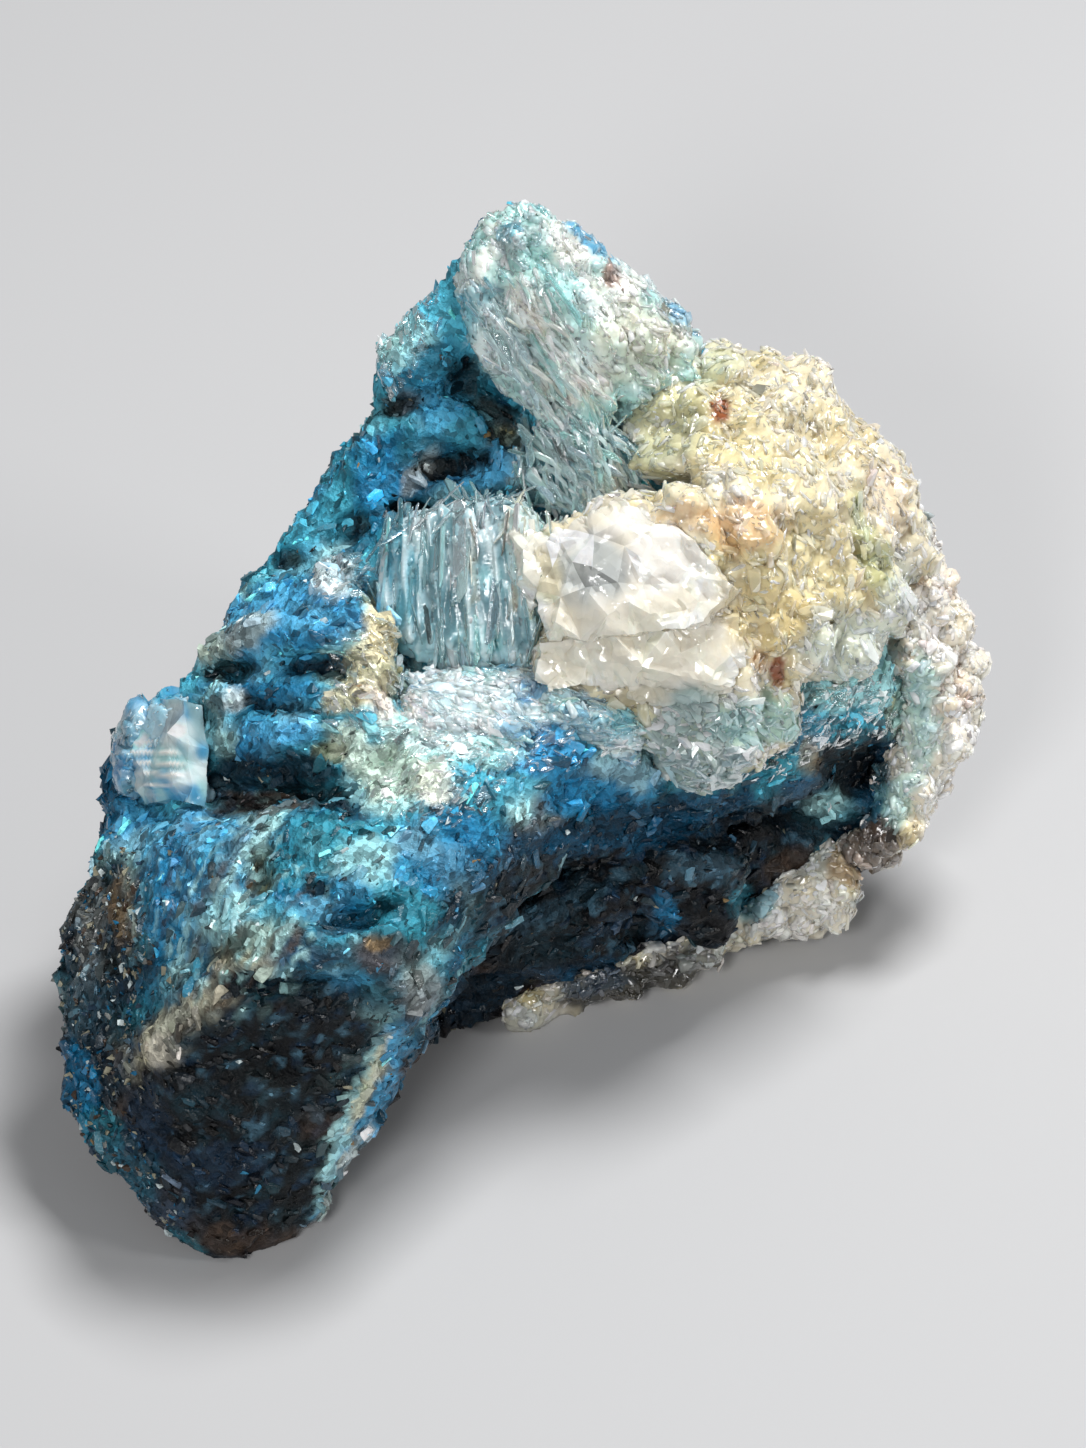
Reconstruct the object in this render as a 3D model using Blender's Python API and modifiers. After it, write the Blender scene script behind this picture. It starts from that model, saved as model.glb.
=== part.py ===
"""A mineral specimen: selenite crystals grown on a block of shattuckite, resting on its own underside.

Units are metres, +Z is up, +X is to the viewer's right and the display side faces -Y.
The origin is on the table, under the middle of the specimen.
"""

import math
import random

import bmesh
import bpy
from mathutils import Vector, noise
from mathutils.bvhtree import BVHTree

MM = 0.001

# The form is read off a reference view, which looks down on the specimen from the front.
# A point of it is given as the view's pixel (across, down) and the height above the table in mm.
VIEW_ELEVATION = math.radians(40)
SPECIMEN_WIDTH = 65.7
LEFTMOST_PX = 60
RIGHTMOST_PX = 980
FOOT_ROW_PX = 1265
MM_PER_PX = SPECIMEN_WIDTH / (RIGHTMOST_PX - LEFTMOST_PX)
# The middle of the footprint, in mm to the right of pixel column 0 and behind the foot.
MIDDLE = Vector((37.9, 31.2, 0.0))
TO_VIEWER = Vector((0, -math.cos(VIEW_ELEVATION), math.sin(VIEW_ELEVATION)))

# How the selenite sits on the stone, in mm.
CONTACT_GAP = 0.45
STONE_GRID = 0.9
CRYSTAL_GRID = 0.35
SEAT_GRID = 0.45
STONE_FACE_SHARE = 0.078


def seen(column, row, height):
    """The place in metres that the view shows at a pixel, at this height in mm."""
    up = (FOOT_ROW_PX - row) * MM_PER_PX
    depth = (up - height * math.cos(VIEW_ELEVATION)) / math.sin(VIEW_ELEVATION)
    return (Vector((column * MM_PER_PX, depth, height)) - MIDDLE) * MM


def hidden(across, depth, height):
    """A place on the far side, in mm right of pixel column 0, behind the foot and above the table."""
    return (Vector((across, depth, height)) - MIDDLE) * MM


# Convex blocks whose union is the stone.
STONE_BLOCKS = {
    "crown": [
        seen(520, 212, 55), seen(492, 224, 54), seen(560, 236, 53), seen(600, 266, 51),
        seen(640, 292, 49), seen(700, 342, 45), seen(446, 298, 49), seen(412, 318, 47),
        seen(390, 346, 45.5), seen(368, 404, 42.5), seen(350, 445, 40.5), seen(452, 515, 37.5),
        seen(560, 520, 37), seen(660, 520, 36), seen(745, 420, 39),
        hidden(36, 57, 44), hidden(46, 57, 38), hidden(28, 56, 34), hidden(38, 61, 20),
        hidden(52, 60, 14), hidden(24, 56, 16), hidden(40, 40, 10),
    ],
    "shelf": [
        seen(330, 492, 38), seen(356, 440, 40.5), seen(270, 556, 33.5), seen(212, 660, 28),
        seen(450, 700, 30), seen(560, 700, 30), seen(690, 640, 32), seen(640, 500, 36.5),
        seen(790, 400, 37.5), seen(845, 440, 34), seen(880, 500, 31),
        seen(800, 640, 28), seen(880, 700, 22),
        hidden(20, 50, 2), hidden(30, 60, -1), hidden(52, 59, -1), hidden(62, 46, 2),
        hidden(16, 40, 8), hidden(14, 40, 20), hidden(40, 34, 6), hidden(56, 40, 6),
    ],
    "base": [
        seen(440, 1036, 2), seen(560, 1006, -1), seen(690, 972, -1), seen(800, 925, 0),
        seen(450, 985, 8), seen(560, 940, 10.5), seen(700, 880, 11), seen(820, 850, 9),
        seen(480, 930, 13), seen(600, 880, 15), seen(760, 830, 13),
        hidden(24, 48, -1), hidden(56, 50, -1), hidden(60, 46, 8), hidden(22, 40, 12),
    ],
    "ledge": [
        seen(404, 700, 32), seen(450, 676, 31.5), seen(556, 676, 31.5), seen(640, 712, 29.5),
        seen(640, 770, 26.5), seen(560, 772, 29), seen(480, 752, 31.4), seen(410, 764, 32),
        hidden(28, 26, 18), hidden(46, 28, 16), hidden(46, 34, 18), hidden(30, 34, 18),
    ],
    "lip": [
        seen(560, 838, 24), seen(640, 812, 22.5), seen(720, 796, 22), seen(800, 766, 22),
        seen(870, 742, 19.5), seen(905, 735, 17), seen(560, 740, 29),
        seen(700, 730, 26), seen(830, 700, 24.5), seen(900, 690, 19.5),
        seen(570, 870, 17), seen(700, 836, 16), seen(820, 800, 16), seen(890, 776, 14),
        hidden(34, 32, 20), hidden(60, 40, 14), hidden(60, 42, 20),
    ],
    "lower ledge": [
        seen(600, 900, 15.5), seen(655, 868, 17), seen(735, 850, 16.5), seen(745, 880, 13.5),
        seen(655, 898, 14.5), seen(580, 930, 13), hidden(40, 34, 8), hidden(54, 38, 8),
    ],
    "hanging block": [
        seen(656, 904, 14), seen(736, 894, 12.5), seen(742, 932, 8.5), seen(722, 958, 6),
        seen(692, 956, 6), seen(660, 930, 9.5), hidden(46, 34, 5), hidden(52, 34, 5),
        hidden(46, 34, 10), hidden(52, 34, 10),
    ],
    "front lobe": [
        seen(216, 1256, 0), seen(268, 1262, -1), seen(296, 1242, -0.5), seen(166, 1222, 1.5),
        seen(132, 1188, 3), seen(98, 1150, 5), seen(78, 1108, 7), seen(64, 1020, 11),
        seen(72, 930, 15), seen(102, 832, 20), seen(168, 1056, 17), seen(250, 966, 24.5),
        seen(330, 950, 27), seen(400, 966, 25), seen(430, 1004, 20), seen(384, 1042, 14),
        seen(344, 1150, 6.5), seen(304, 1232, 0.5),
        seen(230, 850, 27.5), seen(330, 830, 30), seen(440, 800, 31), seen(480, 745, 31.5),
        seen(545, 760, 29.5), seen(548, 846, 23.5), seen(486, 922, 21.5),
        hidden(10, 30, 3), hidden(12, 34, 14), hidden(30, 26, 4), hidden(34, 26, 16),
        hidden(18, 6, -1), hidden(20, 12, -1),
    ],
    "lip slab": [
        seen(578, 806, 26), seen(570, 850, 22.5), seen(549, 892, 19.5), seen(500, 906, 20),
        seen(496, 850, 25), seen(536, 800, 28), hidden(34, 26, 16), hidden(38, 28, 18),
        hidden(30, 28, 14),
    ],
    "knob": [
        seen(264, 566, 33), seen(338, 580, 38), seen(376, 606, 38), seen(402, 670, 35.5),
        seen(398, 730, 33.5), seen(350, 772, 31.5), seen(260, 778, 29.5), seen(196, 760, 26.5),
        seen(188, 692, 27), seen(212, 648, 29), hidden(26, 40, 22), hidden(14, 36, 14),
        hidden(26, 24, 16), hidden(30, 34, 20),
    ],
    "knob step": [
        seen(250, 590, 34), seen(330, 560, 38), seen(350, 610, 37), seen(350, 650, 37),
        seen(215, 655, 30), seen(260, 650, 33.5), hidden(22, 36, 24), hidden(26, 36, 24),
    ],
    "left shoulder": [
        seen(124, 730, 22), seen(98, 775, 19.5), seen(97, 803, 18), seen(106, 850, 17),
        seen(190, 704, 26), seen(196, 790, 26), seen(180, 880, 23), hidden(10, 36, 10),
        hidden(22, 40, 14),
    ],
    "right flank": [
        seen(860, 470, 31), seen(900, 510, 28), seen(915, 570, 24.5), seen(930, 640, 20),
        seen(935, 720, 15.5), seen(908, 800, 11), seen(872, 864, 6.5), seen(840, 895, 3),
        seen(800, 920, 0), seen(840, 700, 24), seen(800, 560, 32),
        hidden(58, 54, 12), hidden(50, 56, 0), hidden(50, 44, 0), hidden(62, 50, 8),
    ],
    "back": [
        hidden(24, 52, 34), hidden(40, 55, 42), hidden(18, 44, 24), hidden(30, 62, 12),
        hidden(50, 61, 8), hidden(42, 61.5, 24), hidden(22, 57, -1), hidden(40, 60.5, -1),
        hidden(60, 55, 4), hidden(56, 56, 22), hidden(38, 30, 10),
    ],
}

# Hollows (positive) and swellings (negative) on the display side: the view's pixel, the half-axes
# in pixels, the turn of the long axis in degrees clockwise from across, and the depth in mm.
STONE_HOLLOWS = [
    (465, 380, 16, 24, 0, 2.0), (400, 405, 24, 13, -20, 1.6), (500, 415, 32, 16, 35, 2.0),
    (452, 466, 42, 14, -8, 2.4), (500, 442, 22, 12, 20, 1.4), (415, 522, 30, 18, 20, 2.6),
    (575, 490, 42, 34, 0, 4.0), (350, 530, 22, 12, -30, 1.4), (288, 562, 14, 11, 0, 1.8),
    (430, 432, 20, 12, 0, -1.0), (360, 462, 18, 16, 0, -0.8),
    (235, 674, 26, 11, -8, 2.4), (322, 668, 34, 13, 0, 2.8), (276, 708, 40, 8, 4, 1.4),
    (212, 716, 12, 24, 10, 1.4), (250, 766, 60, 10, 4, 2.2), (305, 796, 66, 15, 4, 3.6),
    (212, 788, 30, 11, 0, 2.0), (326, 742, 28, 8, 0, 1.2), (240, 696, 18, 12, -20, -1.0),
    (300, 636, 40, 10, 0, -0.8), (300, 730, 60, 9, 0, -0.9),
    (265, 868, 18, 24, 10, 1.8), (346, 908, 42, 12, 6, 2.2), (392, 942, 30, 12, 0, 1.4),
    (312, 985, 52, 11, 6, 2.2), (300, 930, 40, 9, 0, -0.8), (420, 985, 26, 16, -30, -1.2),
    (430, 780, 28, 20, 0, -1.2), (480, 850, 30, 12, -30, 1.0), (350, 850, 50, 14, -10, -0.8),
    (170, 900, 16, 40, 10, -0.8), (118, 880, 14, 20, 0, 1.0), (112, 960, 18, 14, 0, 0.9),
    (190, 1100, 50, 22, 0, -0.9), (250, 1175, 40, 20, 0, -0.7), (150, 1130, 30, 14, 30, 0.9),
    (240, 1060, 60, 14, 0, 1.2), (250, 1232, 46, 14, 0, -0.8),
    (640, 918, 18, 34, 10, 3.0), (860, 768, 38, 26, -10, 4.0), (690, 826, 66, 13, -12, 2.2),
    (610, 842, 50, 10, -10, -0.8), (790, 852, 44, 12, -20, 1.4), (540, 960, 44, 12, -25, 1.6),
    (470, 1000, 40, 10, -25, 1.4), (590, 960, 40, 12, -15, -0.8),
]


class Crystals:
    """Convex bodies of one selenite growth, gathered before they are joined."""

    def __init__(self, name, seed):
        self.name = name
        self.random = random.Random(seed)
        self.meshes = []
        self.base = None

    def block(self, points):
        self.meshes.append(hull_mesh(points, self.name))

    def slab(self, points, thickness):
        """A flat plate: the outline as seen, and the same outline further in."""
        self.block(points + [p - facing(points) * thickness * MM for p in points])

    def chain(self, outer, inner, thickness):
        """A strip of plates between two edges that run side by side."""
        for start in range(len(outer) - 1):
            step = [outer[start + 1] - outer[start], inner[start + 1] - inner[start]]
            near = [outer[start] - step[0] * 0.04, inner[start] - step[1] * 0.04]
            far = [outer[start + 1] + step[0] * 0.04, inner[start + 1] + step[1] * 0.04]
            self.slab(near + far, thickness)

    def settle(self):
        """Takes what is gathered so far as the ground that crystals stand on."""
        self.base = surface_of(joined(self.meshes, self.name))

    def prism(self, foot, tip, width, thickness, flat):
        """A blade from foot to tip with an oblique chisel end, its broad side facing flat."""
        axis = (tip - foot).normalized()
        side = axis.cross(flat).normalized()
        face = side.cross(axis).normalized()
        half, deep = width * MM / 2, thickness * MM / 2
        skew = self.random.uniform(-0.5, 0.5)
        points = []
        for across, out in [(1, 0.75), (-1, 1), (-1, -0.75), (1, -1)]:
            outward = side * across * half + face * out * deep
            points.append(foot + outward)
            points.append(tip + outward - axis * half * (0.7 + skew * across))
        points.append(tip + side * half * 0.7 - axis * half * skew * 0.7)
        points.append(tip - side * half * 0.7 + axis * half * skew * 0.7)
        self.block(points)

    def lying(self, start, end, width, thickness, lift=0.3):
        """A blade lying along the ground between two of the view's pixels."""
        a, up_a = strike(self.base, *start)
        b, up_b = strike(self.base, *end)
        up = (up_a + up_b).normalized()
        self.prism(a + up * lift * MM, b + up * lift * MM, width, thickness, up)

    def standing(self, pixel, lean, length, width, thickness):
        """A crystal half sunk in the ground at a pixel, leaning off the surface's normal."""
        at, up = strike(self.base, *pixel)
        tilt = Vector([self.random.gauss(0, 1) for _ in range(3)]).normalized() * lean
        axis = (up + tilt).normalized()
        flat = axis.orthogonal()
        turn = self.random.uniform(0, math.pi)
        flat = flat * math.cos(turn) + axis.cross(flat) * math.sin(turn)
        self.prism(at - axis * length * 0.6 * MM, at + axis * length * 0.4 * MM, width, thickness, flat)

    def scatter(self, corners, count, lean, sizes, spacing):
        """Standing crystals over an outline of the view's pixels, none closer than the spacing."""
        columns = [c for c, _ in corners]
        rows = [r for _, r in corners]
        taken = []
        for _ in range(count * 60):
            pixel = (self.random.uniform(min(columns), max(columns)), self.random.uniform(min(rows), max(rows)))
            if not inside(pixel, corners):
                continue
            if any(math.dist(pixel, other) < spacing for other in taken):
                continue
            taken.append(pixel)
            size = self.random.uniform(*sizes)
            width = size * self.random.uniform(0.65, 0.95)
            self.standing(pixel, lean, size, width, width * self.random.uniform(0.6, 0.95))
            if len(taken) == count:
                break


def clear_scene():
    for obj in list(bpy.data.objects):
        bpy.data.objects.remove(obj)


def inside(pixel, corners):
    """Whether a pixel lies within an outline."""
    within = False
    for (ax, ay), (bx, by) in zip(corners, corners[1:] + corners[:1]):
        if (ay > pixel[1]) != (by > pixel[1]):
            if pixel[0] < (bx - ax) * (pixel[1] - ay) / (by - ay) + ax:
                within = not within
    return within


def facing(points):
    """The viewer's-side normal of a nearly flat outline."""
    middle = sum(points, Vector()) / len(points)
    normal = Vector()
    for one in points:
        for other in points:
            turn = (one - middle).cross(other - middle)
            if turn.dot(TO_VIEWER) > 0:
                normal += turn
    return normal.normalized()


def hull_mesh(points, name):
    """The convex block around some points."""
    shape = bmesh.new()
    for point in points:
        shape.verts.new(point)
    found = bmesh.ops.convex_hull(shape, input=shape.verts)
    spare = found["geom_interior"] + found["geom_unused"]
    spare = {item for item in spare if isinstance(item, bmesh.types.BMVert)}
    bmesh.ops.delete(shape, geom=list(spare), context="VERTS")
    mesh = bpy.data.meshes.new(name)
    shape.to_mesh(mesh)
    shape.free()
    return mesh


def joined(meshes, name):
    shape = bmesh.new()
    for mesh in meshes:
        shape.from_mesh(mesh)
    mesh = bpy.data.meshes.new(name)
    shape.to_mesh(mesh)
    shape.free()
    return mesh


def surface_of(mesh):
    mesh.calc_loop_triangles()
    corners = [v.co for v in mesh.vertices]
    return BVHTree.FromPolygons(corners, [tuple(t.vertices) for t in mesh.loop_triangles])


def strike(surface, column, row):
    """Where the line of sight through a pixel meets a surface, and the way the surface faces there."""
    start = seen(column, row, 30) + TO_VIEWER * 100 * MM
    place, normal, _, _ = surface.ray_cast(start, -TO_VIEWER)
    if place is None:
        place, normal, _, _ = surface.find_nearest(seen(column, row, 30))
    if normal.dot(TO_VIEWER) < 0:
        normal = -normal
    return place, normal


def placed(mesh, name, collection):
    obj = bpy.data.objects.new(name, mesh)
    collection.objects.link(obj)
    return obj


def apply_modifiers(obj):
    """Makes the modified shape the object's own mesh."""
    bpy.context.view_layer.update()
    graph = bpy.context.evaluated_depsgraph_get()
    mesh = bpy.data.meshes.new_from_object(obj.evaluated_get(graph))
    obj.modifiers.clear()
    obj.data = mesh


def fuse(obj, grid):
    """Fuses overlapping closed blocks into one even skin."""
    remesh = obj.modifiers.new("fuse", "REMESH")
    remesh.mode = "VOXEL"
    remesh.voxel_size = grid * MM
    apply_modifiers(obj)


def thin_out(obj, share):
    """Leaves flat facets, with this share of the faces."""
    decimate = obj.modifiers.new("thin", "DECIMATE")
    decimate.ratio = share
    decimate.use_collapse_triangulate = True
    apply_modifiers(obj)


def cut(obj, cutter):
    trim = obj.modifiers.new("cut", "BOOLEAN")
    trim.operation = "DIFFERENCE"
    trim.solver = "EXACT"
    trim.object = cutter
    apply_modifiers(obj)


def seat_cutter(obj, cutters):
    """The body grown by the contact gap, to trim what sits on it."""
    cutter = placed(obj.data.copy(), obj.name + "_seat", cutters)
    grow = cutter.modifiers.new("grow", "DISPLACE")
    grow.mid_level = 0.0
    grow.strength = CONTACT_GAP * MM
    fuse(cutter, SEAT_GRID)
    cutter.display_type = "WIRE"
    cutter.hide_render = True
    return cutter


def keep_largest(obj):
    """Drops the crumbs that a cut leaves."""
    shape = bmesh.new()
    shape.from_mesh(obj.data)
    waiting = set(shape.faces)
    islands = []
    while waiting:
        reach = [waiting.pop()]
        island = list(reach)
        while reach:
            for edge in reach.pop().edges:
                for other in edge.link_faces:
                    if other in waiting:
                        waiting.discard(other)
                        island.append(other)
                        reach.append(other)
        islands.append(island)
    islands.sort(key=len)
    crumbs = [face for island in islands[:-1] for face in island]
    bmesh.ops.delete(shape, geom=crumbs, context="FACES")
    bmesh.ops.triangulate(shape, faces=shape.faces)
    shape.to_mesh(obj.data)
    shape.free()
    obj.data.update()


def hollow_out(obj):
    """Presses the hollows and swellings into the side that the viewer sees."""
    obj.data.update()
    normals = [v.normal.copy() for v in obj.data.vertices]
    for vertex, normal in zip(obj.data.vertices, normals):
        if normal.dot(TO_VIEWER) < 0.05:
            continue
        place = vertex.co / MM + MIDDLE
        column = place.x / MM_PER_PX
        up = place.y * math.sin(VIEW_ELEVATION) + place.z * math.cos(VIEW_ELEVATION)
        row = FOOT_ROW_PX - up / MM_PER_PX
        push = 0.0
        for middle, middle_row, half_x, half_y, turn, depth in STONE_HOLLOWS:
            across, down = column - middle, row - middle_row
            if abs(across) > 80 or abs(down) > 80:
                continue
            angle = math.radians(turn)
            along = (across * math.cos(angle) + down * math.sin(angle)) / half_x
            aside = (down * math.cos(angle) - across * math.sin(angle)) / half_y
            push += depth * math.exp(-1.2 * (along * along + aside * aside) ** 1.5)
        vertex.co -= TO_VIEWER * push * MM
    obj.data.update()


def broken_surface(place_mm):
    """Height in mm of the fractured, lumpy relief at a place in mm."""
    broad = noise.fractal(place_mm / 11.0, 0.9, 2.1, 3)
    ledges = noise.ridged_multi_fractal(place_mm / 6.5 + Vector((7, 3, 1)), 1.0, 2.2, 3, 0.9, 1.8)
    return 0.9 * broad + 0.45 * (ledges - 1.0)


def roughen(obj, relief):
    obj.data.update()
    normals = [v.normal.copy() for v in obj.data.vertices]
    for vertex, normal in zip(obj.data.vertices, normals):
        vertex.co += normal * relief(vertex.co / MM) * MM
    obj.data.update()


def table_cutter(collection):
    """The space below the table, which gives the specimen the flats that it rests on."""
    bpy.ops.mesh.primitive_cube_add(size=0.2, location=(0, 0, -0.1))
    box = bpy.context.object
    box.name = "below_the_table"
    for other in list(box.users_collection):
        other.objects.unlink(box)
    collection.objects.link(box)
    box.display_type = "WIRE"
    box.hide_render = True
    return box


def stone(collection, table):
    blocks = [hull_mesh(points, name) for name, points in STONE_BLOCKS.items()]
    obj = placed(joined(blocks, "stone"), "shattuckite_rock", collection)
    fuse(obj, STONE_GRID)
    hollow_out(obj)
    roughen(obj, broken_surface)
    thin_out(obj, STONE_FACE_SHARE)
    cut(obj, table)
    keep_largest(obj)
    return obj


def dome_crystals():
    """The cream-yellow cluster with its clear plate, the shelf edge below and the crystals under it."""
    grown = Crystals("selenite_dome", 11)
    grown.block([
        seen(628, 400, 42.5), seen(664, 374, 43.5), seen(714, 344, 44), seen(750, 354, 42.5),
        seen(818, 372, 40), seen(842, 410, 38), seen(866, 440, 36), seen(664, 470, 42.5),
        seen(760, 480, 42.5), seen(830, 480, 40), seen(624, 470, 41), seen(700, 420, 44),
        seen(790, 410, 42), seen(640, 420, 34), seen(740, 380, 34), seen(840, 430, 30),
        seen(800, 480, 30), seen(660, 480, 32),
    ])
    grown.block([
        seen(606, 520, 40.5), seen(640, 496, 41.5), seen(760, 500, 42.5), seen(850, 480, 38.5),
        seen(884, 520, 35), seen(892, 600, 30.5), seen(880, 655, 26.5), seen(820, 680, 27),
        seen(745, 692, 30.5), seen(650, 690, 32), seen(570, 680, 32.5), seen(560, 600, 36.5),
        seen(580, 560, 38.5), seen(720, 600, 38), seen(800, 600, 35.5), seen(700, 540, 41),
        seen(600, 560, 30), seen(850, 560, 24), seen(600, 680, 26), seen(840, 660, 20),
    ])
    grown.block([
        seen(842, 410, 38), seen(870, 440, 36), seen(904, 464, 32.5), seen(910, 502, 30.5),
        seen(906, 560, 28.5), seen(898, 640, 25.5), seen(884, 520, 35.5), seen(850, 480, 38.5),
        seen(860, 560, 26), seen(880, 470, 27), seen(890, 620, 20),
    ])
    grown.block([
        seen(650, 702, 31.5), seen(740, 698, 30.5), seen(800, 692, 28), seen(792, 740, 25.5),
        seen(724, 784, 24), seen(664, 776, 25), seen(650, 742, 28), seen(680, 700, 24),
        seen(780, 700, 20), seen(720, 760, 19),
    ])
    grown.settle()
    grown.slab([
        seen(612, 497, 43), seen(640, 520, 42), seen(696, 534, 42), seen(708, 600, 38.5),
        seen(640, 630, 36.5), seen(546, 628, 35), seen(534, 604, 36), seen(516, 566, 38),
        seen(545, 535, 40),
    ], 3.2)
    grown.slab([
        seen(548, 640, 35.5), seen(640, 626, 37), seen(745, 628, 36.5), seen(748, 690, 32),
        seen(690, 708, 30.8), seen(640, 700, 31.2), seen(600, 690, 32), seen(560, 694, 31.8),
        seen(536, 676, 33),
    ], 4.0)
    grown.slab([
        seen(676, 748, 28.6), seen(704, 750, 28.4), seen(706, 796, 24.6), seen(672, 790, 25),
    ], 3.0)
    grown.slab([
        seen(640, 700, 31.5), seen(688, 706, 31), seen(676, 740, 28.8), seen(650, 748, 28.2),
    ], 3.0)
    rim = [(640, 410), (720, 350), (815, 374), (850, 425), (904, 470), (905, 560), (888, 650),
           (820, 680), (760, 640), (735, 560), (650, 500), (625, 460)]
    grown.scatter(rim, 29, 0.9, (3.6, 5.8), 34)
    grown.scatter([(640, 540), (700, 540), (705, 610), (640, 615)], 3, 0.5, (2.4, 3.6), 26)
    grown.scatter([(560, 650), (740, 640), (740, 690), (560, 680)], 5, 0.5, (2.4, 3.8), 30)
    grown.scatter([(660, 712), (790, 700), (780, 745), (665, 770)], 6, 0.9, (2.8, 4.0), 26)
    grown.prism(seen(880, 470, 32), seen(917, 471, 32.3), 2.0, 1.6, TO_VIEWER)
    return grown


def peak_crystals():
    """The teal-white crust of the summit, and the clear blades that lean down from it."""
    grown = Crystals("selenite_peak", 23)
    grown.block([
        seen(520, 206, 56), seen(496, 216, 55), seen(544, 212, 55.2), seen(560, 232, 53.8),
        seen(474, 244, 53.5), seen(454, 282, 51.5), seen(470, 320, 50), seen(540, 330, 50.5),
        seen(600, 300, 51.5), seen(602, 262, 52.5), seen(520, 250, 46), seen(500, 300, 42),
        seen(580, 290, 42), hidden(37, 54, 48),
    ])
    grown.block([
        seen(600, 262, 52.5), seen(636, 280, 50.5), seen(686, 326, 46.5), seen(700, 345, 45.5),
        seen(650, 392, 44.5), seen(606, 400, 45), seen(560, 330, 50.5), seen(640, 330, 49.5),
        seen(620, 300, 42), seen(680, 340, 38), seen(620, 390, 36),
    ])
    grown.block([
        seen(470, 300, 50.5), seen(560, 310, 51.5), seen(612, 404, 45), seen(600, 440, 42),
        seen(556, 440, 42), seen(500, 380, 45.5), seen(480, 300, 42), seen(580, 400, 36),
        seen(540, 400, 37),
    ])
    grown.settle()
    blades = [
        ((476, 292), (506, 372), 1.6), ((496, 284), (530, 376), 1.8), ((514, 288), (566, 392), 1.7),
        ((532, 292), (590, 396), 1.3), ((548, 300), (612, 408), 1.3), ((566, 310), (628, 396), 1.2),
        ((548, 356), (600, 440), 1.5), ((520, 366), (572, 436), 1.3), ((590, 330), (640, 392), 1.4),
        ((500, 348), (548, 412), 1.2), ((572, 262), (606, 330), 1.3), ((610, 300), (664, 356), 1.3),
    ]
    for start, end, width in blades:
        grown.lying(start, end, width * 1.25, width, 0.25)
    grown.scatter([(508, 222), (538, 222), (596, 272), (560, 290), (475, 285), (478, 250)],
                  9, 0.8, (2.6, 3.6), 28)
    grown.scatter([(600, 275), (686, 336), (690, 352), (650, 388), (600, 340)], 7, 0.8, (2.6, 3.8), 28)
    return grown


def blade_bed():
    """The bed of upright clear blades on the wall left of the plate."""
    grown = Crystals("selenite_blades", 37)
    grown.slab([
        seen(392, 530, 39), seen(455, 508, 41), seen(515, 506, 41.5), seen(548, 545, 39.5),
        seen(540, 600, 36.8), seen(536, 664, 33), seen(440, 668, 32), seen(402, 648, 33.2),
        seen(384, 600, 35.6),
    ], 4.5)
    grown.settle()
    for step in range(11):
        column = 398 + step * 13
        top = 512 + grown.random.uniform(0, 26) + max(0, 420 - column) * 0.5
        bottom = 664 - grown.random.uniform(0, 34)
        lean = grown.random.uniform(-4, 14)
        width = grown.random.uniform(0.9, 1.5)
        thick = width * grown.random.uniform(0.8, 1.2)
        grown.lying((column, top), (column + lean, bottom), width, thick, grown.random.uniform(0.1, 0.5))
    for step in range(5):
        column = 410 + step * 26
        row = 530 + grown.random.uniform(0, 70)
        grown.lying((column, row), (column + grown.random.uniform(-10, 16), row + 60), 0.9, 0.9, 0.5)
    grown.slab([
        seen(504, 508, 42), seen(549, 546, 40.6), seen(541, 588, 38.4), seen(524, 602, 37.4),
        seen(508, 566, 39.2),
    ], 1.3)
    return grown


def ledge_needles():
    """The pale needles that lie on the ledge under the blade bed."""
    grown = Crystals("selenite_ledge_needles", 41)
    grown.slab([
        seen(410, 682, 32.2), seen(440, 672, 32.2), seen(540, 672, 32.2), seen(600, 700, 31.2),
        seen(640, 722, 30), seen(636, 756, 27.8), seen(590, 752, 29), seen(520, 724, 31.4),
        seen(440, 742, 31.8), seen(404, 742, 32.4), seen(388, 712, 33),
    ], 3.5)
    grown.settle()
    for step in range(6):
        row = 676 + step * 10
        start = (404 + grown.random.uniform(-6, 14), row)
        end = (536 - step * 3 + grown.random.uniform(-24, 10), row + step * 3 - 8)
        grown.lying(start, end, grown.random.uniform(0.7, 1.1), 0.9, 0.25)
    for step in range(7):
        column = 540 + step * 14
        row = 682 + step * 5
        start = (column, row + grown.random.uniform(-4, 8))
        grown.lying(start, (column + 34, row + 44), grown.random.uniform(0.9, 1.5), 1.1, 0.35)
    grown.scatter([(480, 690), (560, 700), (620, 740), (560, 740), (450, 730)], 3, 0.8, (2.2, 3.0), 24)
    return grown


def left_crystal():
    """The clear fibrous crystal at the left edge, ribbed across."""
    grown = Crystals("selenite_left_crystal", 53)
    grown.slab([
        seen(112, 748, 22.4), seen(124, 723, 24.6), seen(150, 703, 26.4), seen(180, 692, 28),
        seen(190, 706, 28), seen(194, 746, 27), seen(188, 794, 25), seen(150, 802, 22.4),
        seen(127, 786, 21.8),
    ], 4.0)
    grown.settle()
    for step in range(5):
        row = 750 + step * 10
        grown.lying((122 + step, row), (186 - grown.random.uniform(0, 8), row + 3), 0.9, 0.8, 0.2)
    grown.lying((168, 704), (172, 750), 1.3, 1.2, 0.4)
    grown.lying((180, 700), (184, 744), 1.0, 1.0, 0.3)
    grown.lying((138, 716), (160, 742), 1.2, 0.9, 0.2)
    return grown


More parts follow.
